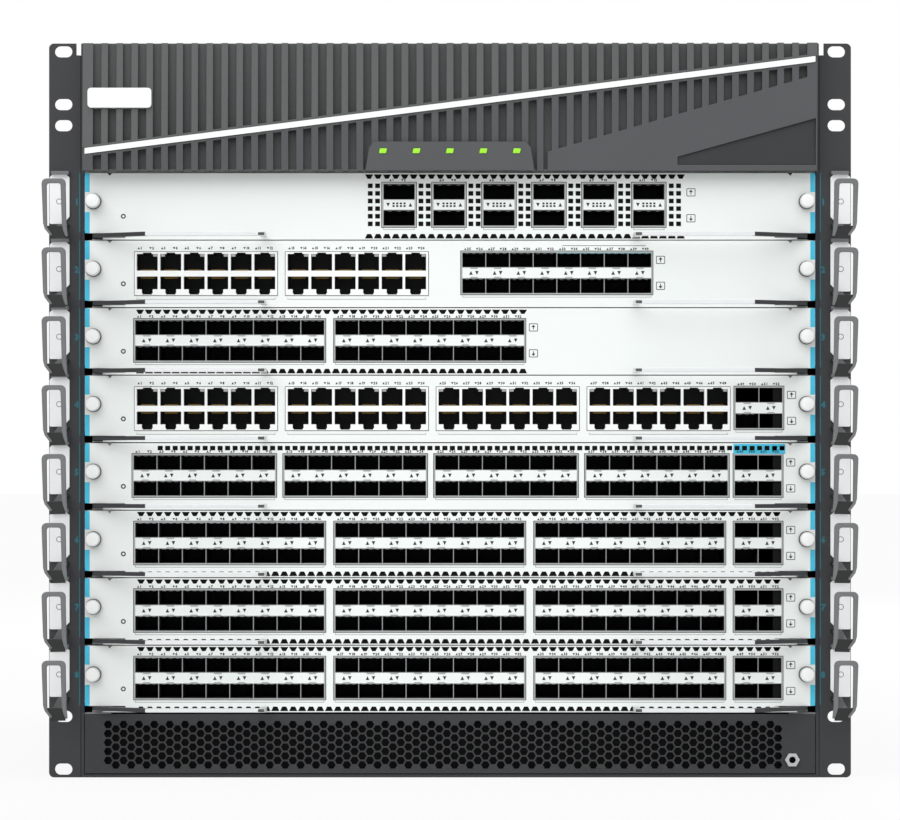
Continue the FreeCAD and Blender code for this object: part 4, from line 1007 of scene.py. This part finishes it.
@dataclass
class CardInside:
    """What shows when a card is drawn out: tray, board, coolers, chips and the rear plug."""

    number: int
    top: float
    paints: Paints
    sheet: float = 0.8
    board: float = 1.6
    cooler_size: tuple[float, float, float] = (90.0, 100.0, 16.0)
    cooler_foot: float = 3.5
    fin: float = 1.4
    fins: int = 18

    def build(self) -> None:
        """Makes the inside in place of the rough solids."""
        name = f"card_{self.number}"
        low, high = low_high(f"{name}_board")
        piece = Build(f"{name}_inside", *self.paints.pick("plated", "board", "alloy", "chip", "rim"))
        start = FRONT + 1.9
        board_z = self.top - BOARD_DROP
        tray = rectangle(low.x, start + 6, high.x - low.x, high.y - start - 8)
        piece.prism([tray], low.z, low.z + self.sheet, Plane.TOP)
        for x in (low.x, high.x - self.sheet):
            wall = rectangle(x, start + 30, self.sheet, high.y - start - 40)
            piece.prism([wall], low.z + self.sheet, low.z + 9, Plane.TOP)
        board = rectangle(-200, start, 400, high.y - start - 8)
        piece.prism([board], board_z - self.board, board_z, Plane.TOP, 1)
        for x in (-150, 0, 150):
            for y in (150, 290):
                self.cooler(piece, x, FRONT + y, board_z)
        for k in range(14):
            x = -180 + 27.0 * k
            piece.prism([rectangle(x, FRONT + 90, 14, 14)], board_z, board_z + 1.6, Plane.TOP, 3)
        for k in range(9):
            x = -168 + 42.0 * k
            piece.prism([rectangle(x, FRONT + 340, 9, 9)], board_z, board_z + 7, Plane.TOP, 4)
        piece.prism([rectangle(-150, high.y - 8, 300, 8)], board_z, board_z + 14, Plane.TOP, 3)
        piece.make(name, "cage_steel", (f"{name}_board",))

    def cooler(self, piece: Build, x: float, y: float, base: float) -> None:
        """A finned cooler: a thick foot and upright fins."""
        wide, deep, tall = self.cooler_size
        top = base + self.cooler_foot
        piece.prism([rectangle(x - wide / 2, y, wide, deep)], base, top, Plane.TOP, 2)
        for k in range(self.fins):
            left = x - wide / 2 + k * (wide - self.fin) / (self.fins - 1)
            piece.prism([rectangle(left, y, self.fin, deep)], top, base + tall, Plane.TOP, 2)


@dataclass
class EjectorLever:
    """A cranked flat lever with a bright grip, an arm in a dark copy of the grip's steel that paints the
    shade on its slanted face, and a dark pad at its end.
    """

    number: int
    side: int
    top: float
    paints: Paints
    drop: float = 36.5
    thickness: float = 2.4
    hub_inset: float = 9.8
    hub_depth: float = 7.0

    def build(self) -> None:
        """Makes the lever in place of its solid."""
        word = "left" if self.side < 0 else "right"
        node = f"lever_{self.number}_{word}"
        high = self.top - self.drop
        low = high - self.thickness
        knee = [(28.0, -30.2), (29.8, -25.8)]
        hub = [(1.0, -7.5), (5.0, -3.0), (5.0, 3.5), (-2.0, 7.0), (-6.5, 5.5)]
        arm = [(-5.0, -1.25), (-5.0, -9.0), *knee, *hub]
        end = [(99.0, -30.2), (100.0, -29.2), (100.0, -9.0), (96.5, -9.0), (96.5, -25.8)]
        grip = [knee[0], *end, knee[1]]
        # Slot 0, the arm, is painted darker than the grip for the shade on its slanted face.
        piece = Build(node + "_handle", *self.paints.pick("arm", "lever", "rim"))
        for slot, outline in enumerate((arm, grip)):
            piece.prism([self.placed(outline)], low, high, Plane.TOP, slot)
        piece.prism([self.placed(rectangle(95.4, -30.35, 3.8, 1.0))], low + 0.3, high - 0.3, Plane.TOP, 2)
        piece.make(node, "lever_steel", (node,), bevel=0.3)

    def placed(self, outline: Loop) -> Loop:
        """An outline drawn from the hub towards the middle, put in its place seen from above."""
        hub_x = PANEL_HALF - self.hub_inset
        return [(self.side * (hub_x - x), FRONT + self.hub_depth + y) for x, y in outline]


# ---------------------------------------------------------------- chassis pieces


@dataclass
class CableGuides:
    """Two columns of cable guides: white plate, a shelf and foot in near-black painted shade, and a hoop in
    grey painted shade.
    """

    paints: Paints
    reach: float = 53.0
    plate_width: float = 12.0
    plate_drop: float = 31.0
    inset: float = 0.4

    def placed(self, corners: Loop, top: float) -> Loop:
        """Corners given as steps in from the outer edge and down from the top, on the right."""
        return [(EDGE - self.inset - inward, top - drop) for inward, drop in corners]

    def plate_outline(self, side: int, top: float) -> Loop:
        """The plate on the ear, with its lower inner corner cut off."""
        outer = EDGE - self.inset
        inner = outer - self.plate_width
        high, low = top - 1.0, top - self.plate_drop
        r = 2.0
        head = [(inner, high - r), (inner + r, high), (outer - r, high), (outer, high - r)]
        foot = [(outer, low + 0.6), (outer - 0.6, low), (inner + 4.0, low), (inner, low + 4.3)]
        return mirrored((head + foot)[::-1], side)

    def arch(self, top: float) -> Loop:
        """The hoop on the right: a rounded head, and legs that lean in and end on the dark foot."""
        head = [(14.2, 9.8), (13.8, 8.3), (12.7, 7.3), (11.4, 7.0)]
        head += [(2.8, 7.0), (1.4, 7.4), (0.4, 8.4), (0.0, 9.8)]
        sill = [(0.9, 33.5), (1.8, 36.6), (5.2, 41.0), (6.4, 40.2), (3.5, 36.2), (3.3, 34.9)]
        eye = [(3.0, 11.2), (3.3, 10.2), (4.3, 9.8), (9.9, 9.8), (10.9, 10.2), (11.2, 11.2)]
        foot = [(12.0, 34.9), (12.8, 38.0), (14.0, 41.2), (15.3, 41.2), (14.6, 34.0)]
        return self.placed(head + sill + eye + foot, top)

    def foot(self, top: float) -> Loop:
        """The foot between the hoop's legs, on the right, in near-black painted shade."""
        outer = [(5.0, 42.6), (5.2, 40.0), (3.2, 36.6)]
        return self.placed([(3.0, 34.9), (12.1, 34.9), (13.0, 38.0), (14.2, 42.4), *outer], top)

    def shelf(self, top: float, back: float) -> Loop:
        """The shelf that slopes from the plate down to the hoop, seen from the side, in near-black painted
        shade.
        """
        high, low = top - self.plate_drop, top - self.plate_drop - 2.6
        ends = [(FRONT, high), (FRONT - 1.6, high), (back + 0.2, high - 6.2), (back + 0.2, high - 8.2)]
        return [*ends, (FRONT - 1.6, low), (FRONT, low)]

    def build(self) -> None:
        """Makes all sixteen guides as one piece per finish."""
        plates = Build("guide_plates", *self.paints.pick("plate", "rim", "hoop"))
        # The hoops' grey is painted shade on their front.
        hoops = Build("guide_hoops", self.paints["hoop"])
        # Shelves and feet are near-black: painted shade under the hoop.
        shelves = Build("guide_shelves", self.paints["shelf"])
        back = FRONT - self.reach + 3.0
        for slot in range(SLOTS):
            top = CARD_TOPS[slot] + 0.3
            for side in (-1, 1):
                outline = self.plate_outline(side, top)
                # A dark ring on the plate: painted shade standing for the rim of its screw hole.
                centre = (side * (EDGE - 6.2), top - 17.5)
                painted_hole_ring = [ring(centre, radius, 20) for radius in (1.75, 1.4)]
                plates.prism([outline], FRONT - 1.6, FRONT)
                plates.prism(painted_hole_ring, FRONT - 1.75, FRONT - 1.5, slot=1)
                # A grey lip along the plate's top: painted shade on its rounded top edge.
                lip = mirrored(rectangle(EDGE - 12.2, top - 1.3, 10.6, 2.0), side)
                plates.prism([lip], FRONT - 5.0, FRONT, slot=2)
                hoops.prism([mirrored(self.arch(top), side)], FRONT - self.reach, back)
                shelves.prism([mirrored(self.foot(top), side)], FRONT - self.reach + 0.6, back)
                near_x, far_x = sorted((side * (EDGE - 12.2), side * (EDGE - 5.6)))
                shelves.prism([self.shelf(top, back)], near_x, far_x, Plane.SIDE)
        for piece, bevel in ((plates, 0.4), (hoops, 0.5), (shelves, 0.3)):
            piece.make("chassis", "guide_plastic", ("cable_guides",), bevel=bevel)


@dataclass
class IntakeGrille:
    """The perforated plate under the cards, with its full honeycomb and a dust filter behind."""

    paints: Paints
    columns: int = 88
    pitch: float = 4.635
    rows: int = 5
    row_pitch: float = 5.4
    across: float = 4.5
    first: float = -205.8

    def build(self) -> None:
        """Makes the plate in place of its coarse solid."""
        low, high = low_high("intake_grille")
        outline = rectangle(low.x, low.z, high.x - low.x, high.z - low.z)
        holes = []
        radius = self.across / math.sqrt(3)
        for column in range(self.columns):
            x = self.first + column * self.pitch
            high_z = 29.1 if column % 2 else 31.8
            holes += [ring((x, high_z - row * self.row_pitch), radius, 6) for row in range(self.rows)]
        jack = ring((205.9, 10.7), 3.2, 24)
        plate = Build("intake_honeycomb", self.paints["dark"])
        plate.prism([outline, *holes, jack], low.y, high.y)
        plate.make("chassis", "dark_paint", ("intake_grille",))
        dark_backing = Build("intake_filter", self.paints["black"])
        sheet = rectangle(low.x + 2, low.z + 1, 2 * high.x - 14, high.z - low.z - 2)
        dark_backing.prism([sheet], high.y + 4, high.y + 5)
        dark_backing.make("chassis", "dark_paint")


@dataclass
class TopBezel:
    """The ribbed bezel: two faces that lean back from a slanting crest, lamps and plain fields."""

    paints: Paints
    depth: float = 16.0
    floor: float = 9.5
    fall: float = 4.5 / 76.38
    channels: int = 48
    pitch: float = 8.99
    channel: float = 4.8
    ledge: float = 2.9
    bar_half: float = 1.85
    field_left: float = 58.4
    corner_left: float = 136.4
    name_plate: tuple[float, float, float, float] = (-216.8, 401.7, 38.2, 11.9)

    def __post_init__(self) -> None:
        """Reads the bezel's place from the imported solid."""
        low, high = low_high("top_bezel")
        self.half, self.low, self.high = high.x, low.z - 0.3, high.z
        self.left, self.right = low.z + 11.2, low.z + 66.6

    def crest(self, x: float) -> float:
        """The crest line's height: a straight line from the left end to the right."""
        return self.left + (self.right - self.left) * (x + self.half) / (2 * self.half)

    def field(self, x: float) -> float:
        """The smooth field's upper edge: a straight line that climbs to the right end."""
        return self.low + 11.5 + 46.4 * (x - self.field_left) / (self.half - self.field_left)

    def foot_of(self, rib: tuple[float, float]) -> float:
        """Where a rib of the lower face starts: at the bezel's foot, or behind the smooth field."""
        return self.low if rib[0] < self.field_left else self.field(rib[0]) - 1.5

    def lean(self, piece: Build, near: float) -> None:
        """Moves the last part's front points back by the fall times their distance from the crest."""
        points = piece.points[-1]
        slope = (self.right - self.left) / (2 * self.half)
        away = np.abs(points[:, 2] - self.crest(points[:, 0])) / math.hypot(1.0, slope)
        points[:, 1] += np.where(points[:, 1] < near + 0.01, self.fall * away, 0.0)

    def strip(
        self, piece: Build, spans: tuple[float, float], edges: tuple, near: float, slot: int = 0
    ) -> None:
        """A block from the channels' floor to the surface, between two sides and two slanted ends.

        Args:
            piece: what it is added to.
            spans: its left and right sides.
            edges: two functions of x, for its lower and its upper end.
            near: its front's depth on the crest.
            slot: the material slot.
        """
        a, b = spans
        under, over = edges
        if over(a) - under(a) < 0.3 and over(b) - under(b) < 0.3:
            return
        corners = [(a, under(a)), (b, under(b)), (b, max(over(b), under(b) + 0.01))]
        corners.append((a, max(over(a), under(a) + 0.01)))
        piece.prism([corners], near, FRONT - self.floor + 0.5, slot=slot)
        self.lean(piece, near)

    def build(self) -> None:
        """Makes the bezel in place of its solid, and its small parts."""
        near = FRONT - self.depth
        body = Build("ribbed_bezel", *self.paints.pick("bezel", "groove", "panel"))
        back = rectangle(-self.half, self.low + 0.6, 2 * self.half, self.high - self.low - 0.6)
        # The channels' floor wears the darker groove grey: painted shade in the recesses between the ribs.
        body.prism([back], FRONT - self.floor, FRONT, slot=1)
        centred = np.arange(self.channels) - (self.channels - 1) / 2
        starts = (centred * self.pitch + self.channel / 2).tolist()
        ribs = [(-self.half, starts[0] - self.channel)]
        ribs += [(x, x + self.pitch - self.channel) for x in starts[:-1]] + [(starts[-1], self.half)]
        for rib in ribs:
            self.strip(body, rib, (lambda x: self.crest(x) + self.ledge, lambda x: self.high), near)
            foot = self.foot_of(rib)
            # The lower face's ribs wear the smooth field's darker grey: painted shade on the face that leans
            # downward.
            self.strip(body, rib, (lambda x, foot=foot: foot, lambda x: self.crest(x) - self.ledge), near, 2)
        for low, high in ((-self.ledge - 0.4, -self.bar_half), (self.bar_half, self.ledge + 0.4)):
            ends = (lambda x, low=low: self.crest(x) + low, lambda x, high=high: self.crest(x) + high)
            self.strip(body, (-self.half, self.half), ends, near)
        seat = (lambda x: self.crest(x) - 2.0, lambda x: self.crest(x) + 2.0)
        self.strip(body, (-self.half, self.half), seat, near + 1.0)
        body.make("chassis", "bezel_plastic", ("top_bezel",), bevel=0.35)
        self.fields(near)
        plate = Build("blank_plate", self.paints["cap"])
        plate.prism([rounded(*self.name_plate, 2.1)], near - 1.1, near + 5.0)
        plate.make("chassis", "bezel_plastic", bevel=0.5)
        self.lamps()

    def fields(self, near: float) -> None:
        """The lamp carrier and the smooth field with its sunken dark corner."""
        low = self.low
        body = Build("bezel_fields", *self.paints.pick("panel", "inset", "groove"))
        left, half, corner, right = self.field_left, self.half, self.corner_left, self.half - 1.0
        inner = [(corner, low + 3.7), (right, low + 3.7), (right, low + 31.5), (corner, low + 8.5)]
        smooth_loop = [(left, low), (half, low), (half, self.field(half)), (left, self.field(left))]
        body.prism([smooth_loop, inner], near - 0.05, FRONT - self.floor + 0.5)
        self.lean(body, near)
        body.prism([inner], FRONT - 11.5, FRONT - 11.0, slot=1)
        flank = [(50.6, low), (48.4, low + 13.5), (46.0, low + 16.6), (44.5, low + 17.3)]
        carrier = flank + mirrored(flank[::-1], -1)
        body.prism([carrier], near - 1.4, FRONT - self.floor + 0.5)
        # The sill along the foot wears the groove grey: painted shade along the bezel's lower edge.
        sill = rectangle(-self.half, low, 2 * self.half, 1.2)
        body.prism([sill], FRONT - 12.5, FRONT - self.floor + 0.5, slot=2)
        body.make("chassis", "bezel_plastic", ("top_bezel",), bevel=0.4)

    def lamps(self) -> None:
        """The slanted lenses in place of the plain ones."""
        low, high = low_high("status_lights")
        lenses = Build("lamp_lenses", self.paints["lamp"])
        middle_z = (low.z + high.z) / 2 - 0.8
        for k in range(5):
            x = low.x + 2.4 + k * (high.x - low.x - 4.8) / 4
            foot, head = middle_z - 1.45, middle_z + 1.45
            lens = [(x - 2.5, foot), (x + 1.8, foot), (x + 2.4, head), (x - 1.9, head)]
            lenses.prism([lens], low.y + 0.2, high.y + 0.4)
        lenses.make("chassis", "lamp_lens", ("status_lights",), bevel=0.4)


@dataclass
class RearFittings:
    """What the rear carries: fan guards, power inlets, vent plates, sockets, lamps and screws."""

    paints: Paints
    rear: float = low_high("chassis_shell")[1].y
    guard_radius: float = 97.0
    ring_step: int = 13
    spokes: int = 6
    hole_step: float = 7.0
    hole_radius: float = 3.2

    def screw(self, piece: Build, x: float, z: float, slot: int, radius: float = 3.6) -> None:
        """A pan head with a low dome, facing the back."""
        profile = [(radius, 0.0), (radius, 1.0), (radius * 0.8, 1.9), (radius * 0.35, 2.3), (0.01, 2.3)]
        piece.turned((x, self.rear, z), [(0.01, 0.0), *profile], 20, slot=slot)

    def lamp(self, piece: Build, x: float, z: float, slot: int) -> None:
        """A small round lens."""
        piece.prism([ring((x, z), 1.5, 16)], self.rear, self.rear + 0.8, slot=slot)

    def vent_plate(self, piece: Build, left: float, low: float, width: float, height: float) -> None:
        """A raised plate of hexagonal holes, over a dark ground in the piece's second finish.

        Args:
            piece: what it is added to.
            left: the plate's left edge.
            low: its lower edge.
            width: its width.
            height: its height.
        """
        step, row_step, rear = self.hole_step, self.hole_step * 0.866, self.rear
        holes = []
        for row in range(int((height - 6) / row_step)):
            for column in range(int((width - 8) / step)):
                x = left + 6.0 + column * step + (step / 2 if row % 2 else 0.0)
                if x < left + width - 4.5:
                    holes.append(ring((x, low + 5.5 + row * row_step), self.hole_radius, 6, math.pi / 6))
        piece.prism([rounded(left, low, width, height, 2.0), *holes], rear + 0.4, rear + 1.4)
        piece.prism([rounded(left + 0.5, low + 0.5, width - 1, height - 1, 1.5)], rear, rear + 0.4, slot=1)

    def fan(self, side: int) -> None:
        """The stamped guard over a fan: rings, spokes and a mounting ring."""
        body = f"fan_tray_{'left' if side < 0 else 'right'}"
        low, high = low_high(body)
        x, z = (low.x + high.x) / 2, (low.z + high.z) / 2
        guard = Build(f"{body}_guard", *self.paints.pick("steel", "nut", "lamp"))
        rim = [ring((x, z), self.guard_radius + extra, 64) for extra in (7.0, 0.0)]
        guard.prism(rim, self.rear, self.rear + 1.2)
        for radius in range(18, 98, self.ring_step):
            rings = [ring((x, z), radius + 1.0, 48), ring((x, z), radius - 1.0, 48)]
            guard.prism(rings, self.rear - 0.8, self.rear + 0.8)
        for k in range(self.spokes):
            turn = math.radians(15 + 360 * k / self.spokes)
            cos, sin = math.cos(turn), math.sin(turn)
            flat = rectangle(17.0, -1.2, 82.0, 2.4)
            spoke = [(x + r * cos - w * sin, z + r * sin + w * cos) for r, w in flat]
            guard.prism([spoke], self.rear + 0.6, self.rear + 2.0)
        for dx in (-101.0, 101.0):
            for dz in (-120.0, 120.0):
                self.screw(guard, x + dx, z + dz, 1)
        self.lamp(guard, x + 88.0, z + 106.0, 2)
        guard.make(body, "cage_steel", bevel=0.2)

    def supply(self, side: int) -> None:
        """A power supply's inlet with its three pins, its vent plate, lamps and screws."""
        body = f"power_supply_{'left' if side < 0 else 'right'}"
        low, high = low_high(body)
        x, z, rear = low.x + 60.0, (low.z + high.z) / 2, self.rear
        piece = Build(f"{body}_fittings", *self.paints.pick("plated", "black", "nut", "lamp"))
        lining = [rectangle(x - 13.4, z - 9.9, 26.8, 19.8), rounded(x - 12.0, z - 8.5, 24.0, 17.0, 3.0)]
        piece.prism(lining, rear - 11.9, rear, slot=1)
        piece.prism([lining[0]], rear - 11.9, rear - 11.0, slot=1)
        rim = [rounded(x - 16.0, z - 12.5, 32.0, 25.0, 3.0), lining[1]]
        piece.prism(rim, rear, rear + 1.6, slot=1)
        for dx, dz in ((-7.0, -2.0), (0.0, 3.0), (7.0, -2.0)):
            piece.prism([rectangle(x + dx - 1.0, z + dz - 2.2, 2.0, 4.4)], rear - 11.0, rear - 3.0, slot=2)
        for foot, height in ((58.0, 20.0), (5.0, 16.0)):
            self.vent_plate(piece, low.x + 8.0, low.z + foot, high.x - low.x - 16.0, height)
        for corner_x in (low.x + 5.5, high.x - 5.5):
            self.screw(piece, corner_x, z, 2)
        for k in range(2):
            self.lamp(piece, x - 26.0, z - 4.0 + 8.0 * k, 3)
        piece.make(body, "cage_steel", bevel=0.15)

    def controls(self) -> None:
        """The management module's sockets, vent plate, lamps and screws."""
        low, high = low_high("management_module")
        z, rear = (low.z + high.z) / 2, self.rear
        finishes = self.paints.pick("plated", "black", "nut", "lamp", "housing")
        piece = Build("management_fittings", *finishes)
        self.vent_plate(piece, -70.0, z + 8.0, 140.0, 30.0)
        for k in range(4):
            x = -54.0 + 36.0 * k
            opening = rectangle(x - 6.2, z - 21.5, 12.4, 9.0)
            rim = [rectangle(x - 8.5, z - 24.0, 17.0, 14.0), opening]
            piece.prism(rim, rear, rear + 2.2, slot=4 if k < 2 else 2)
            piece.prism([opening], rear, rear + 0.3, slot=1)
            self.lamp(piece, x - 4.0, z - 5.5, 3)
        for x in (low.x + 7.0, high.x - 7.0):
            for dz in (-38.0, 38.0):
                self.screw(piece, x, z + dz, 2, 4.2)
        piece.make("management_module", "cage_steel", bevel=0.15)

    def sides(self) -> None:
        """Flush screws that hold the shell's side walls to its frame."""
        low, high = low_high("chassis_shell")
        heads = Build("side_screws", *self.paints.pick("nut", "black"))
        for side in (-1, 1):
            wall = side * high.x
            near, far = sorted((wall, wall + side * 0.5))
            slot_near, slot_far = sorted((wall + side * 0.45, wall + side * 0.6))
            for y in (low.y + 78.0, low.y + 250.0, low.y + 430.0, high.y - 18.0):
                for z in (14.0, 120.0, 226.0, 332.0, 428.0):
                    heads.prism([ring((y, z), 3.4, 20)], near, far, Plane.SIDE)
                    # A black hexagon on each head: painted shade for its socket, which has no recess.
                    heads.prism([ring((y, z), 1.3, 6)], slot_near, slot_far, Plane.SIDE, 1)
        heads.make("chassis", "dark_paint", bevel=0.1)

    def build(self) -> None:
        """Makes all of the rear and side fittings."""
        for side in (-1, 1):
            self.fan(side)
            self.supply(side)
        self.controls()
        self.sides()


@dataclass
class EarMarks:
    """The coloured line beside every slot, printed on the ear's inner edge, its number, and a dark band of
    painted shade for the shell wall's edge.
    """

    paints: Paints
    numerals: Numerals
    number_x: float = 224.6
    number_size: float = 5.2

    def build(self) -> None:
        """Makes the lines and numbers."""
        marks = Build("slot_lines", *self.paints.pick("deepteal", "navy"))
        depths = (FRONT - 0.06, FRONT + 0.2)
        for number, top in enumerate(CARD_TOPS, start=1):
            for side in (-1, 1):
                line = mirrored(rectangle(222.5, top - 35.6, 0.7, 35.6), side)
                marks.prism([line], *depths)
                # The dark band is painted shade on the shell wall's edge beside the card.
                band = mirrored(rectangle(220.0, top - 40.4, 2.1, 40.4), side)
                marks.prism([band], *depths, slot=1)
                start = (side * self.number_x - 1.3, top - 19.2)
                self.numerals.write(marks, number, start, self.number_size, depths)
        marks.make("chassis", "dark_paint")


# ---------------------------------------------------------------- carried-over nodes

CARRIED = {
    "chassis_shell": "dark",
    "top_cover": "dark",
    "slot_rails": "plated",
    "inner_shelves": "plated",
    "rack_ear_left": "dark",
    "rack_ear_right": "dark",
    "accent_bar": "bar",
    "esd_jack": "nut",
    "backplane": "board",
    "management_module": "plated",
    "power_supply_left": "plated",
    "power_supply_right": "plated",
    "fan_tray_left": "plated",
    "fan_tray_right": "plated",
    "fan_rotor_left": "fan",
    "fan_rotor_right": "fan",
}


def dress_nodes(paints: Paints) -> None:
    """Gives every carried-over node its finish."""
    for node, key in CARRIED.items():
        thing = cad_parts[node]
        for slot in thing.material_slots:
            slot.material = paints[key]
        log.info("%s wears %s", node, paints[key].name)


# ---------------------------------------------------------------- stage


@dataclass
class Studio:
    """Floor, lights, background and camera."""

    paints: Paints
    distance: float = 2.600
    height: float = 0.185
    lens: float = 172.8
    shift: float = 0.0667
    reach: float = 30.0
    ceiling: float = 1.34
    ceiling_tilt: float = 50.0
    felt: float = 0.52

    def floor(self) -> None:
        """A pale floor that runs out of sight."""
        mesh = bpy.data.meshes.new("floor")
        reach = self.reach
        corners = [(x, y, 0) for x, y in rectangle(-reach, -reach, 2 * reach, 2 * reach)]
        mesh.from_pydata(corners, [], [(0, 1, 2, 3)])
        mesh.materials.append(self.paints["floor"])
        thing = bpy.data.objects.new("floor", mesh)
        bpy.context.scene.collection.objects.link(thing)

    def light(self, name: str, place: tuple, size: float, watts: float) -> None:
        """A square soft light that faces the switch's middle."""
        lamp = bpy.data.lights.new(name, "AREA")
        lamp.size = size
        lamp.energy = watts
        thing = bpy.data.objects.new(name, lamp)
        thing.location = place
        aim = Vector((0, 0, 0.22)) - Vector(place)
        thing.rotation_euler = aim.to_track_quat("-Z", "Y").to_euler()
        bpy.context.scene.collection.objects.link(thing)

    def sky(self) -> None:
        """A broad even light from high in front, like a lit studio ceiling."""
        lamp = bpy.data.lights.new("ceiling", "SUN")
        lamp.energy = self.ceiling
        lamp.angle = math.radians(60)
        thing = bpy.data.objects.new("ceiling", lamp)
        thing.rotation_euler = (math.radians(self.ceiling_tilt), 0, math.radians(-8))
        bpy.context.scene.collection.objects.link(thing)

    def background(self) -> None:
        """White for the camera, and a soft grey light for everything else."""
        world = bpy.data.worlds.new("studio")
        world.use_nodes = True
        bpy.context.scene.world = world
        tree = world.node_tree
        tree.nodes.clear()
        path = add_node(tree, "ShaderNodeLightPath")
        seen = add_node(tree, "ShaderNodeBackground", {"Color": (1, 1, 1, 1), "Strength": 1.0})
        felt = add_node(tree, "ShaderNodeBackground", {"Color": (1, 1, 1, 1), "Strength": self.felt})
        inputs = {0: path.outputs["Is Camera Ray"], 1: felt.outputs[0], 2: seen.outputs[0]}
        mix = add_node(tree, "ShaderNodeMixShader", inputs)
        add_node(tree, "ShaderNodeOutputWorld", {"Surface": mix.outputs[0]})

    def camera(self) -> None:
        """A long lens straight in front, a little below the switch's middle."""
        data = bpy.data.cameras.new("camera")
        data.lens = self.lens
        data.sensor_width = 36.0
        data.sensor_fit = "HORIZONTAL"
        data.shift_y = self.shift
        data.clip_end = 100
        thing = bpy.data.objects.new("camera", data)
        thing.location = (0, FRONT * MM - self.distance, self.height)
        thing.rotation_euler = (math.radians(90), 0, 0)
        bpy.context.scene.collection.objects.link(thing)
        bpy.context.scene.camera = thing

    def build(self) -> None:
        """Makes the stage."""
        self.floor()
        self.background()
        self.sky()
        self.light("key", (-1.4, -2.2, 1.6), 1.4, 9)
        self.light("fill", (1.8, -2.4, 1.0), 1.6, 4)
        self.light("back", (0.6, 2.6, 1.8), 1.6, 22)
        self.camera()
        bpy.context.scene.view_settings.view_transform = "Standard"


def main() -> None:
    """Builds the whole scene."""
    paints = Paints()
    numerals = Numerals()
    dress_nodes(paints)
    for k in range(SLOTS):
        CardFace(k + 1, CARD_TOPS[k], BANKS[k], paints, numerals).build()
        CardInside(k + 1, CARD_TOPS[k], paints).build()
        for side in (-1, 1):
            EjectorLever(k + 1, side, CARD_TOPS[k], paints).build()
    CableGuides(paints).build()
    IntakeGrille(paints).build()
    TopBezel(paints).build()
    RearFittings(paints).build()
    EarMarks(paints, numerals).build()
    Studio(paints).build()


if __name__ == "__main__":
    main()
